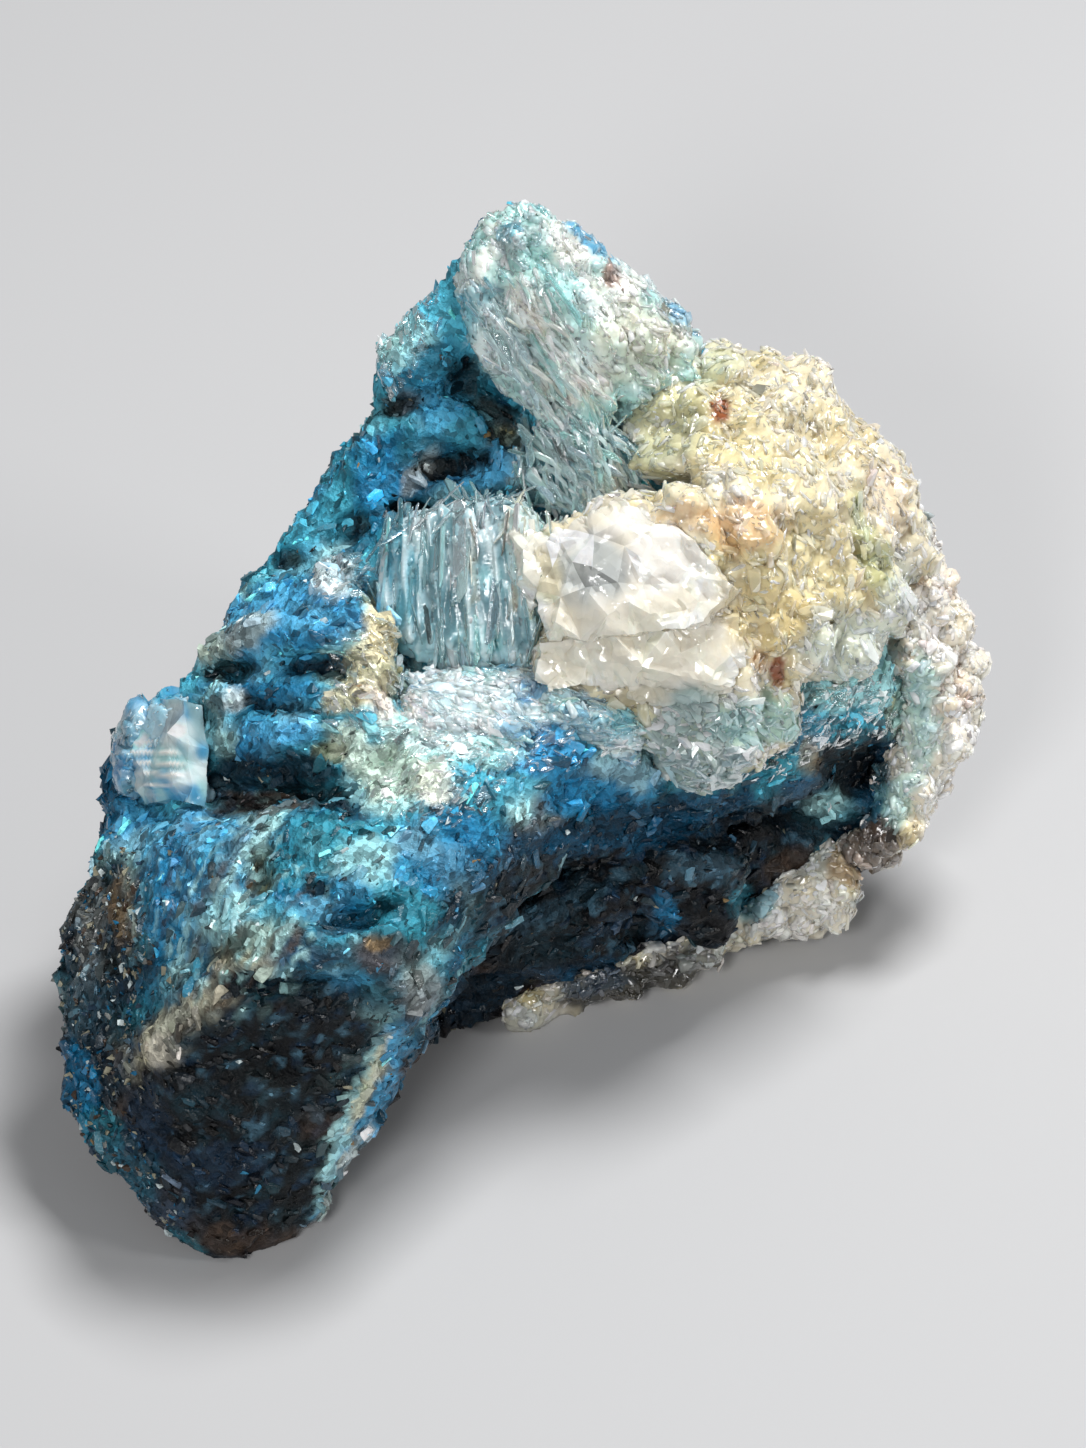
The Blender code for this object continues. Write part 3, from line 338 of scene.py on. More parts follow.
def remeshed(mesh, grid):
    """The same form meshed again with an even, close grid."""
    piece = bpy.data.objects.new("work", mesh)
    bpy.context.scene.collection.objects.link(piece)
    remesh = piece.modifiers.new("fine", "REMESH")
    remesh.mode = "VOXEL"
    remesh.voxel_size = grid * MM
    bpy.context.view_layer.update()
    graph = bpy.context.evaluated_depsgraph_get()
    fine = bpy.data.meshes.new_from_object(piece.evaluated_get(graph))
    bpy.data.objects.remove(piece)
    return fine


def fine_copy(node, grid):
    """A closely meshed copy of a solid, to carry the small relief."""
    return remeshed(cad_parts[node].data.copy(), grid)


def facets(places, size, stretch, seed):
    """Relief of close-set crystals: each cell is a tilted flat, with a step to its neighbours."""
    shift = Vector((seed * 1.7, seed * 2.9, seed * 4.3))
    heights = np.empty(len(places))
    for index, place in enumerate(places):
        where = Vector(stretch @ place) / (size * MM) + shift
        distances, cells = noise.voronoi(where)
        tilt = noise.cell_vector(cells[0] * 17.0)
        heights[index] = (where - cells[0]).dot(tilt) * 1.1 + (tilt.z + tilt.x) * 0.35
    return heights


def cleaved(across, size, steepness, rng):
    """Heights in mm of broad flat faces that meet in sharp edges, as where a crystal has split."""
    reach = np.abs(across).max(axis=0)
    height = np.full(len(across), 9.0)
    for _ in range(int(4 * reach[0] * reach[1] / size ** 2) + 3):
        slope = rng.normal(0, steepness, 2)
        height = np.minimum(height, (across - rng.uniform(-reach, reach)) @ slope + rng.uniform(0.2, 0.8))
    return np.clip(height - np.median(height), -0.8, 0.8)


def cobbles(places, size, stretch, seed):
    """Relief of rounded, close-set crystals: swollen cells, each a little tilted, with grooves between."""
    shift = Vector((seed * 1.7, seed * 2.9, seed * 4.3))
    heights = np.empty(len(places))
    for index, place in enumerate(places):
        where = Vector(stretch @ place) / (size * MM) + shift
        distances, cells = noise.voronoi(where)
        tilt = noise.cell_vector(cells[0] * 17.0)
        swell = 1 - math.exp(-5 * (distances[1] - distances[0]))
        heights[index] = swell - 0.5 + (where - cells[0]).dot(tilt) * 0.7 + tilt.z * 0.4
    return heights


def stretched(direction, ratio):
    """A matrix that squeezes space along a direction, so that cells come out long that way."""
    axis = np.array(direction, dtype=float)
    axis /= np.linalg.norm(axis)
    return np.eye(3) - (1 - 1 / ratio) * np.outer(axis, axis)


def raise_skin(mesh, relief):
    """Moves each point along its normal by the relief in mm, keeping what rests on the table flat."""
    places, normals, _ = mesh_arrays(mesh)
    low = np.clip((places[:, 2] / MM - 0.15) / 0.9, 0, 1)
    moved = places + normals * (relief * low * MM)[:, None]
    moved[:, 2] = np.maximum(moved[:, 2], 0)
    mesh.vertices.foreach_set("co", moved.ravel())
    mesh.update()


def in_view(direction_px, toward=0.0):
    """A direction in space that the view shows as this step in pixels (right, down)."""
    across, down = direction_px
    up = np.array([0.0, math.sin(VIEW_ELEVATION), math.cos(VIEW_ELEVATION)])
    return np.array([1.0, 0.0, 0.0]) * across - up * down + TO_VIEWER * toward


def blade_template():
    """A flattened prism with bevelled sides and oblique chisel ends, one unit long along Z."""
    ring = [(1.0, 0.35), (0.45, 1.0), (-0.75, 0.85), (-1.0, -0.3), (-0.4, -1.0), (0.8, -0.85)]
    points = [(x * 0.48, y * 0.48, -0.44 + 0.05 * y) for x, y in ring]
    points += [(x * 0.46, y * 0.46, 0.42 + 0.07 * x) for x, y in ring]
    points += [(0.15, 0.0, 0.5), (-0.1, 0.05, -0.5)]
    return hull_of(points)


def shard_template(rng, corners):
    """A broken crystal: random corners on a rounded box, with flat faces between them."""
    points = rng.uniform(-1, 1, (corners, 3))
    reach = np.max(np.abs(points), axis=1)
    length = np.linalg.norm(points, axis=1)
    return hull_of(points / (0.55 * reach + 0.45 * length)[:, None] * 0.5)


def hull_of(points):
    shape = bmesh.new()
    for point in points:
        shape.verts.new(point)
    bmesh.ops.convex_hull(shape, input=shape.verts)
    loose = [v for v in shape.verts if not v.link_faces]
    bmesh.ops.delete(shape, geom=loose, context="VERTS")
    bmesh.ops.triangulate(shape, faces=shape.faces)
    shape.verts.index_update()
    corners = np.array([v.co[:] for v in shape.verts])
    faces = np.array([[v.index for v in f.verts] for f in shape.faces])
    shape.free()
    return corners, faces


def spots_on(mesh, count, rng, allow):
    """Random places on a skin, spread by area, with the normal there; allow gives each triangle's share."""
    places, normals, triangles = mesh_arrays(mesh)
    a, b, c = (places[triangles[:, i]] for i in range(3))
    cross = np.cross(b - a, c - a)
    area = np.linalg.norm(cross, axis=1)
    middle = (a + b + c) / 3
    facing = cross / np.maximum(area, 1e-20)[:, None]
    weight = area * allow(middle, facing)
    chosen = rng.choice(len(triangles), size=count, p=weight / weight.sum())
    u, v = rng.random(count), rng.random(count)
    flip = u + v > 1
    u[flip], v[flip] = 1 - u[flip], 1 - v[flip]
    spots = a[chosen] + (b - a)[chosen] * u[:, None] + (c - a)[chosen] * v[:, None]
    smooth = normals[triangles[chosen]].mean(axis=1)
    smooth /= np.linalg.norm(smooth, axis=1)[:, None]
    return spots, smooth


def unit(vectors):
    return vectors / np.maximum(np.linalg.norm(vectors, axis=1), 1e-9)[:, None]


def flow(places, ups, anchors):
    """The grain of the mineral along its skin: directions in the view, blended between the anchors."""
    columns, rows = to_pixels(places)
    double = np.zeros((len(places), 2))
    for column, row, reach, degrees in anchors:
        share = np.exp(-((columns - column) ** 2 + (rows - row) ** 2) / (2 * reach ** 2)) + 1e-7
        double += share[:, None] * np.array([math.cos(math.radians(2 * degrees)), math.sin(math.radians(2 * degrees))])
    angle = np.arctan2(double[:, 1], double[:, 0]) / 2
    along = np.cos(angle)[:, None] * VIEW_RIGHT - np.sin(angle)[:, None] * VIEW_UP
    return unit(along - ups * np.sum(along * ups, axis=1)[:, None])


def lay(templates, spots, ups, along, sizes, lift, rng):
    """Crystals on the skin: long along their direction, flat side out; sizes are width, thickness, length."""
    side = unit(np.cross(along, ups))
    out = np.cross(side, along)
    middles = spots + out * (lift * sizes[:, 1] * MM)[:, None]
    batches = []
    kinds = rng.integers(0, len(templates), len(spots))
    for kind, (corners, faces) in enumerate(templates):
        mine = np.flatnonzero(kinds == kind)
        local = corners[None, :, :] * sizes[mine][:, None, :] * MM
        placed = (
            middles[mine][:, None, :]
            + local[:, :, 0:1] * side[mine][:, None, :]
            + local[:, :, 1:2] * out[mine][:, None, :]
            + local[:, :, 2:3] * along[mine][:, None, :]
        )
        shifts = (np.arange(len(mine)) * len(corners))[:, None, None]
        batches.append((placed.reshape(-1, 3), (faces[None, :, :] + shifts).reshape(-1, 3), mine, len(corners)))
    return batches


def crystal_mesh(name, growths):
    """One mesh from several growths of crystals, with each crystal's own tint."""
    points, faces, tints, base = [], [], [], 0
    for batches, colours in growths:
        for placed, triangles, mine, per_crystal in batches:
            points.append(placed)
            faces.append(triangles + base)
            tints.append(np.repeat(colours[mine], per_crystal, axis=0))
            base += len(placed)
    points = np.concatenate(points)
    points[:, 2] = np.maximum(points[:, 2], 0)
    mesh = bpy.data.meshes.new(name)
    mesh.from_pydata(points.tolist(), [], np.concatenate(faces).tolist())
    write_tint(mesh, np.concatenate(tints))
    return mesh


def skin_tree(mesh):
    """A mesh's triangles for striking rays at."""
    places, _, triangles = mesh_arrays(mesh)
    return BVHTree.FromPolygons(places.tolist(), triangles.tolist())


def on_ray(column, row):
    """A place on the view's ray through a pixel, outside the specimen on the viewer's side."""
    up = (FOOT_ROW_PX - row) * MM_PER_PX
    place = np.array([column * MM_PER_PX, up / math.sin(VIEW_ELEVATION), 0.0]) - MIDDLE
    return place * MM + TO_VIEWER * RAY_START


def strike(trees, column, row):
    """Where the view's ray through a pixel meets the nearest skin, or None."""
    hits = [tree.ray_cast(Vector(on_ray(column, row)), Vector(-TO_VIEWER)) for tree in trees]
    hits = [hit for hit in hits if hit[0]]
    return np.array(min(hits, key=lambda hit: hit[3])[0]) if hits else None


def node(tree, kind, **settings):
    made = tree.nodes.new(kind)
    for key, value in settings.items():
        setattr(made, key, value)
    return made


def mineral(name, cell, speckle, roughness, bump, transmission=0.0, subsurface=0.0, coat=0.0, shine=0.5):
    """Painted mineral: the tint, broken into grains of lighter and darker tone, with fine relief."""
    material = bpy.data.materials.new(name)
    material.use_nodes = True
    tree = material.node_tree
    shader = tree.nodes["Principled BSDF"]
    tint = node(tree, "ShaderNodeAttribute", attribute_name="tint")
    place = node(tree, "ShaderNodeTexCoord")
    cells = node(tree, "ShaderNodeTexVoronoi", feature="F1")
    cells.inputs["Scale"].default_value = 1 / (cell * MM)
    fine = node(tree, "ShaderNodeTexNoise")
    fine.inputs["Scale"].default_value = 1 / (cell * 0.5 * MM)
    fine.inputs["Detail"].default_value = 4.0
    tone = node(tree, "ShaderNodeSeparateColor")
    spread = node(tree, "ShaderNodeMapRange")
    spread.inputs["To Min"].default_value = 1.0 - speckle
    spread.inputs["To Max"].default_value = 1.0 + speckle
    shade = node(tree, "ShaderNodeVectorMath", operation="SCALE")
    rough = node(tree, "ShaderNodeMapRange")
    rough.inputs["To Min"].default_value = max(0.02, roughness - 0.14)
    rough.inputs["To Max"].default_value = roughness + 0.14
    height = node(tree, "ShaderNodeMath", operation="MULTIPLY_ADD")
    height.inputs[1].default_value = 0.6
    relief = node(tree, "ShaderNodeBump")
    relief.inputs["Strength"].default_value = bump
    relief.inputs["Distance"].default_value = 0.25 * MM
    link = tree.links.new
    link(place.outputs["Object"], cells.inputs["Vector"])
    link(place.outputs["Object"], fine.inputs["Vector"])
    link(cells.outputs["Color"], tone.inputs["Color"])
    link(tone.outputs["Red"], spread.inputs["Value"])
    link(tint.outputs["Color"], shade.inputs[0])
    link(spread.outputs["Result"], shade.inputs["Scale"])
    link(shade.outputs["Vector"], shader.inputs["Base Color"])
    link(tone.outputs["Green"], rough.inputs["Value"])
    link(rough.outputs["Result"], shader.inputs["Roughness"])
    link(cells.outputs["Distance"], height.inputs[0])
    link(fine.outputs["Fac"], height.inputs[2])
    link(height.outputs["Value"], relief.inputs["Height"])
    link(relief.outputs["Normal"], shader.inputs["Normal"])
    shader.inputs["Specular IOR Level"].default_value = shine
    shader.inputs["IOR"].default_value = 1.52
    shader.inputs["Transmission Weight"].default_value = transmission
    shader.inputs["Subsurface Weight"].default_value = subsurface
    shader.inputs["Subsurface Scale"].default_value = 1.2 * MM
    shader.inputs["Subsurface Radius"].default_value = (1.0, 0.9, 0.8)
    shader.inputs["Coat Weight"].default_value = coat
    shader.inputs["Coat Roughness"].default_value = 0.12
    return material


def off_table(middle, facing):
    """Keeps growth off the underside."""
    return np.clip((middle[:, 2] / MM - 0.8) / 1.0, 0, 1) * np.clip(facing[:, 2] + 1.05, 0.05, 1)


def within(zones):
    """Growth only inside these parts of the view, on what faces the viewer."""
    def allow(middle, facing):
        columns, rows = to_pixels(middle)
        share = sum(inside(columns, rows, *zone) for zone in zones)
        return np.clip(share, 0, 1) * np.clip(facing @ TO_VIEWER, 0, 1)
    return allow


def stone_ground(places):
    """The stone's colours before the painted zones: blues above, dark host rock low down and in patches."""
    blues = mix_palette(places, [DEEP_BLUE, BLUE, TURQUOISE, TEAL, PALE_TEAL], 3.2, 20, 1.7)
    dark = mix_palette(places, [HOST, NIGHT, BROWN, HOST, SLATE], 2.8, 40, 1.7)
    drift = wobble(places, 9.0, 60)[:, 0]
    share = np.clip(0.5 + (places[:, 2] / MM - 19) / 22 + drift * 0.9, 0, 1)[:, None]
    share = share * share * (3 - 2 * share)
    return dark * (1 - share) + blues * share


def tone_spread(rng, tints, spread, glint_share, dark_share):
    """Each crystal's own tone: mostly near its neighbours', some made pale as a painted glint on a clear face, some
    dark.
    """
    count = len(tints)
    calm = 1 - 0.65 * np.clip(1.6 * tints.mean(axis=1), 0, 1)
    tints = tints * np.exp(rng.normal(0, spread, count) * calm)[:, None] * (1 + rng.normal(0, 0.02, (count, 3)))
    chance = rng.random(count)[:, None]
    # Painted highlight: this share of the crystals is made much paler, standing in for glints on their faces.
    tints = np.where(chance < glint_share, tints * 2.2 + 0.02, tints)
    tints = np.where(chance > 1 - dark_share, tints * 0.3, tints)
    return np.clip(tints, 0.003, 0.95)


def speckled(rng, tints, share, codes):
    """Some of the crystals in quite another mineral's colour."""
    other = np.array([linear(code) for code in codes])[rng.integers(0, len(codes), len(tints))]
    return np.where(rng.random(len(tints))[:, None] < share, other * 0.7, tints)


def streaks(places, colours, normals):
    """Bands of paler and browner mineral that run down the front lobe."""
    columns, rows = to_pixels(places)
    share = inside(columns, rows, *STREAKED) * np.clip(normals @ TO_VIEWER, 0, 1)
    along = in_view((math.cos(math.radians(STREAK_TURN)), math.sin(math.radians(STREAK_TURN))))
    field = wobble(places @ stretched(along, 7.0), 0.7, 11)[:, 0]
    pale = (np.clip((field - 0.12) / 0.2, 0, 1) * share * 0.8)[:, None]
    brown = (np.clip((-field - 0.2) / 0.2, 0, 1) * share * 0.75)[:, None]
    colours = colours * (1 - pale) + linear(PALE_TEAL) * pale
    return colours * (1 - brown) + linear(BROWN) * brown


def turned(along, ups, turn, tilt, rng):
    """The directions, each turned on the skin and tipped out of it by a random few degrees."""
    side = unit(np.cross(along, ups))
    spin = np.radians(rng.normal(0, turn, len(along)))[:, None]
    tip = np.radians(rng.normal(0, tilt, len(along)))[:, None]
    leaning = unit(ups + side * np.tan(np.clip(np.radians(rng.normal(0, tilt, len(along))), -1, 1))[:, None])
    along = unit(along * np.cos(spin) + side * np.sin(spin) + ups * np.tan(np.clip(tip, -1, 1)))
    return along, unit(leaning - along * np.sum(along * leaning, axis=1)[:, None])


def growth(mesh, crystals, anchors, allow, tint, rng):
    """One batch of crystals on a skin, and their tints."""
    templates, count, (low, high), slim, flat, (turn, tilt), lift, *zones = crystals
    spots, ups = spots_on(mesh, count, rng, within(zones) if zones else allow)
    length = low + (high - low) * rng.random(count) ** 1.8
    width = length * slim * rng.uniform(0.7, 1.3, count)
    sizes = np.stack([width, width * flat * rng.uniform(0.7, 1.3, count), length], axis=1)
    along, out = turned(flow(spots, ups, anchors), ups, turn, tilt, rng)
    return lay(templates, spots, out, along, sizes, lift, rng), tint(spots, ups)


def dress_stone(shards, chips, rng):
    mesh = fine_copy("shattuckite_rock", 0.44)
    places, normals, _ = mesh_arrays(mesh)
    relief = 0.5 * facets(places, 3.2, np.eye(3), 5) + 0.28 * facets(places, 1.4, np.eye(3), 6)
    relief += zone_relief(places, normals, STONE_ZONES)
    raise_skin(mesh, relief)
    places, normals, _ = mesh_arrays(mesh)
    write_tint(mesh, streaks(places, paint(places, normals, stone_ground(places), STONE_ZONES), normals))
    skin = show(mesh, "stone_skin", mineral("shattuckite", 0.5, 0.5, 0.42, 0.9, shine=0.2), "shattuckite", smooth=True)
    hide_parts("shattuckite_rock")
    flakes = mineral("shattuckite_flakes", 0.4, 0.25, 0.24, 0.35, shine=0.35)

    def tint(spots, ups):
        tints = streaks(spots, paint(spots, ups, stone_ground(spots), STONE_ZONES), ups)
        return tone_spread(rng, tints, 0.5, 0.1, 0.2)

    def speck_tint(spots, ups):
        return speckled(rng, tint(spots, ups), 0.05, [BRIGHT_BLUE, GOLD, BEIGE_GREY, HOST, ICE])

    def glitter_tint(spots, ups):
        return speckled(rng, tint(spots, ups), 0.6, [BLUE, STEEL, GREY_STONE, STEEL, SLATE, BEIGE_GREY, BROWN, ICE])

    coarse = growth(mesh, (shards, 7200, (0.45, 1.9), 0.5, 0.6, (28, 18), 0.0), STONE_FLOW, off_table, tint, rng)
    fine = growth(mesh, (chips, 10000, (0.25, 1.0), 0.6, 0.7, (40, 18), 0.0), STONE_FLOW, off_table, speck_tint, rng)
    glitter = growth(
        mesh, (chips, 1000, (0.3, 1.0), 0.7, 0.6, (60, 34), 0.2), STONE_FLOW, within(GLITTER), glitter_tint, rng
    )
    show(crystal_mesh("flakes", [coarse]), "stone_flakes", flakes, "shattuckite")
    show(crystal_mesh("chips", [fine, glitter]), "stone_chips", flakes, "shattuckite")
    return mesh


def ribs(places, normals, direction, zone):
    """Fine parallel ribs along a direction, from -1 to 1, in one part of the view or all over."""
    field = np.clip(3 * wobble(places @ stretched(direction, 12.0), 0.5, 12)[:, 0], -1, 1)
    return field if zone is None else field * within([zone])(places, normals)


def dress_selenite(node_name, slot, look, rng):
    """A growth's skin and the crystals on it."""
    mesh = fine_copy(node_name, look["grid"])
    places, normals, _ = mesh_arrays(mesh)
    relief = sum(
        depth * look.get("cells", cobbles)(places, size, look["stretch"], 30 + index)
        for index, (size, depth) in enumerate(look["relief"])
    )
    ribbed = ribs(places, normals, *look["ribs"]) if "ribs" in look else np.zeros(len(places))
    raise_skin(mesh, relief + 0.2 * ribbed)
    places, normals, _ = mesh_arrays(mesh)

    def tint(spots, ups):
        tints = paint(spots, ups, mix_palette(spots, look["ground"], 2.6, 80), look["zones"])
        return tone_spread(rng, tints, 0.09, 0.1, 0.02)

    tints = paint(places, normals, mix_palette(places, look["ground"], 2.6, 80), look["zones"])
    # Painted shade: the skin, seen in the gaps between the crystals, is darkened and tinted there by this factor.
    tints = tints * np.array(look["under"])
    white = (np.clip(ribbed, 0, 1) * 0.6)[:, None]
    write_tint(mesh, tints * (1 - white) + linear(ICE) * white)
    skin = show(mesh, node_name + "_skin", look["skin_material"], slot, smooth=True)
    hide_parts(node_name)
    bare = look.get("bare", [])

    def allow(middle, facing):
        return off_table(middle, facing) * (1 - 0.9 * within(bare)(middle, facing)) if bare else off_table(middle, facing)

    for kind in ("grains", "blades"):
        if kind in look:
            growths = [growth(mesh, crystals, look["flow"], allow, tint, rng) for crystals in look[kind]]
            piece = f"{node_name}_{kind}"
            show(crystal_mesh(piece, growths), piece, look[kind + "_material"], slot, smooth=kind == "grains")
    return mesh


def ragged_outline(outline, rng):
    """The outline with each side broken into three uneven steps."""
    corners = np.array(outline, dtype=float)
    broken = []
    for start, end in zip(corners, np.roll(corners, -1, axis=0)):
        broken.append(start)
        broken += [start + (end - start) * share + rng.normal(0, 2.6, 2) for share in (0.33, 0.67)]
    return broken


def striped(places, normals, pitch, zone):
    """Level ribs at a pitch in mm, from -1 to 1, in one part of the view."""
    step = places @ VIEW_UP / (pitch * MM) + 0.15 * wobble(places, 3.0, 12)[:, 0]
    return np.sin(2 * math.pi * step) * within([zone])(places, normals)


def scattered(outline, spacing, rng):
    """Points inside an outline, none closer together than the spacing."""
    low, high = outline.min(axis=0), outline.max(axis=0)
    kept = []
    for point in rng.uniform(low, high, (900, 2)):
        gaps = outline - point
        turns = np.arctan2(gaps[:, 1], gaps[:, 0])
        steps = (np.roll(turns, -1) - turns + math.pi) % (2 * math.pi) - math.pi
        far = not kept or np.min(np.linalg.norm(np.array(kept) - point, axis=1)) > spacing
        if abs(steps.sum()) > math.pi and far and np.min(np.linalg.norm(gaps, axis=1)) > spacing * 0.6:
            kept.append(point)
    return np.array(kept)


def pane(name, trees, outline, toward, thickness, look, material, slot):
    """A cleaved plate: its outline as seen, laid on the skin, its front broken into flat faces."""
    rng = look["rng"]
    struck = [strike(trees, column, row) for column, row in outline]
    struck = np.array([place for place in struck if place is not None])
    middle = struck.mean(axis=0)
    out = np.linalg.svd(struck - middle)[2][2]
    out = out * np.sign(out @ TO_VIEWER)
    middle = middle + out * toward * MM
    side = np.cross(VIEW_UP, out)
    side /= np.linalg.norm(side)
    axes = np.array([side, np.cross(out, side)])
    starts = [on_ray(column, row) for column, row in ragged_outline(outline, rng)]
    ring = np.array([p + TO_VIEWER * (((middle - p) @ out) / (TO_VIEWER @ out)) - middle for p in starts]) @ axes.T / MM
    points = np.concatenate([ring, scattered(ring, look["face"], rng)])
    loop = [list(range(len(ring)))]
    spots, _, faces, *_ = delaunay_2d_cdt([Vector(p) for p in points], [], loop, 1, 1e-5)
    spots = np.array([spot[:] for spot in spots])
    edges = {(face[i], face[(i + 1) % 3]) for face in faces for i in range(3)}
    rim = [(a, b) for a, b in edges if (b, a) not in edges]
    height = cleaved(spots, look["face"] * 2.2, look["steepness"], rng) + rng.normal(0, look["rough"], len(spots))
    on_rim = list({a for a, _ in rim})
    height[on_rim] = -rng.uniform(0.2, 0.8, len(on_rim))
    flat = middle + spots @ axes * MM
    front = flat + out * height[:, None] * MM
    back = flat - out * thickness * MM
    count = len(spots)
    triangles = [tuple(face) for face in faces] + [tuple(v + count for v in face[::-1]) for face in faces]
    triangles += [(b, a, a + count) for a, b in rim] + [(b, a + count, b + count) for a, b in rim]
    shape = bmesh.new()
    corners = [shape.verts.new(place) for place in np.concatenate([front, back])]
    facet = shape.faces.layers.int.new("facet")
    for number, triangle in enumerate(triangles):
        shape.faces.new([corners[v] for v in triangle])[facet] = number
    bmesh.ops.subdivide_edges(shape, edges=shape.edges, cuts=look["cuts"], use_grid_fill=True)
    bmesh.ops.triangulate(shape, faces=shape.faces)
    numbers = np.array([face[facet] for face in shape.faces])
    mesh = bpy.data.meshes.new(name)
    shape.to_mesh(mesh)
    shape.free()
    places, normals, _ = mesh_arrays(mesh)
    ribbed = striped(places, normals, *look["ribs"]) if "ribs" in look else np.zeros(len(places))
    fine = cobbles(places, 1.3, look["stretch"], 51) + 0.4 * cobbles(places, 0.7, np.eye(3), 52)
    raise_skin(mesh, look["wrinkle"] * fine + 0.12 * ribbed)
    places, normals, corners = mesh_arrays(mesh)
    tints = paint(places, normals, mix_palette(places, look["ground"], 2.0, 90), look["zones"])
    white = (np.clip(ribbed * 1.6, 0, 1) * 0.9)[:, None]
    tints = tints * (1 - white) + linear(WARM_WHITE) * white
    clear = within(look["clear"])(places, normals)
    tone = rng.normal(0, 1, len(triangles))[numbers].repeat(3) * (0.05 + 0.42 * clear[corners.ravel()])
    write_tint(mesh, np.clip(tints[corners.ravel()] * np.exp(tone)[:, None], 0, 0.92), "CORNER")
    mesh.shade_smooth()
    mesh.set_sharp_from_angle(angle=math.radians(24))
    show(mesh, name, material, slot)
    return mesh


def studio():
    """Pale floor, soft light from above and behind, and the long-lens camera."""
    bpy.ops.mesh.primitive_plane_add(size=6, location=(0, 0, 0))
    floor = bpy.context.object
    floor.name = "floor"
    material = bpy.data.materials.new("floor")
    material.use_nodes = True
    shader = material.node_tree.nodes["Principled BSDF"]
    shader.inputs["Base Color"].default_value = (0.46, 0.46, 0.465, 1)
    shader.inputs["Roughness"].default_value = 0.8
    shader.inputs["Specular IOR Level"].default_value = 0.2
    floor.data.materials.append(material)
    floor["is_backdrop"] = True

    world = bpy.data.worlds.new("studio")
    bpy.context.scene.world = world
    world.use_nodes = True
    background = world.node_tree.nodes["Background"]
    background.inputs["Color"].default_value = (0.95, 0.97, 1.0, 1)
    background.inputs["Strength"].default_value = 0.18

    middle = Vector((0, 0, 0.02))
    lamps = [
        ("key", (0.12, 0.10, 0.42), 0.13, 2.2), ("side", (0.40, -0.16, 0.22), 0.08, 0.5),
        ("front", (-0.12, -0.44, 0.36), 0.12, 1.35),
    ]
    for name, place, size, power in lamps:
        lamp = bpy.data.lights.new(name, "AREA")
        lamp.energy = power
        lamp.size = size
        light = bpy.data.objects.new(name, lamp)
        bpy.context.scene.collection.objects.link(light)
        light.location = place
        light.rotation_euler = (middle - Vector(place)).to_track_quat("-Z", "Y").to_euler()

    frame_height = VIEW_HEIGHT_PX * MM_PER_PX * MM
    distance = LENS / SENSOR * frame_height
    target = np.array([VIEW_WIDTH_PX / 2 * MM_PER_PX, 31.5, 24.0]) - MIDDLE
    camera = bpy.data.cameras.new("camera")
    camera.lens = LENS
    camera.sensor_width = SENSOR
    camera.clip_start = 0.01
    viewer = bpy.data.objects.new("camera", camera)
    bpy.context.scene.collection.objects.link(viewer)
    viewer.location = Vector(target * MM + TO_VIEWER * distance)
    viewer.rotation_euler = Vector(-TO_VIEWER).to_track_quat("-Z", "Y").to_euler()
    bpy.context.scene.camera = viewer
    bpy.context.scene.view_settings.view_transform = "Standard"


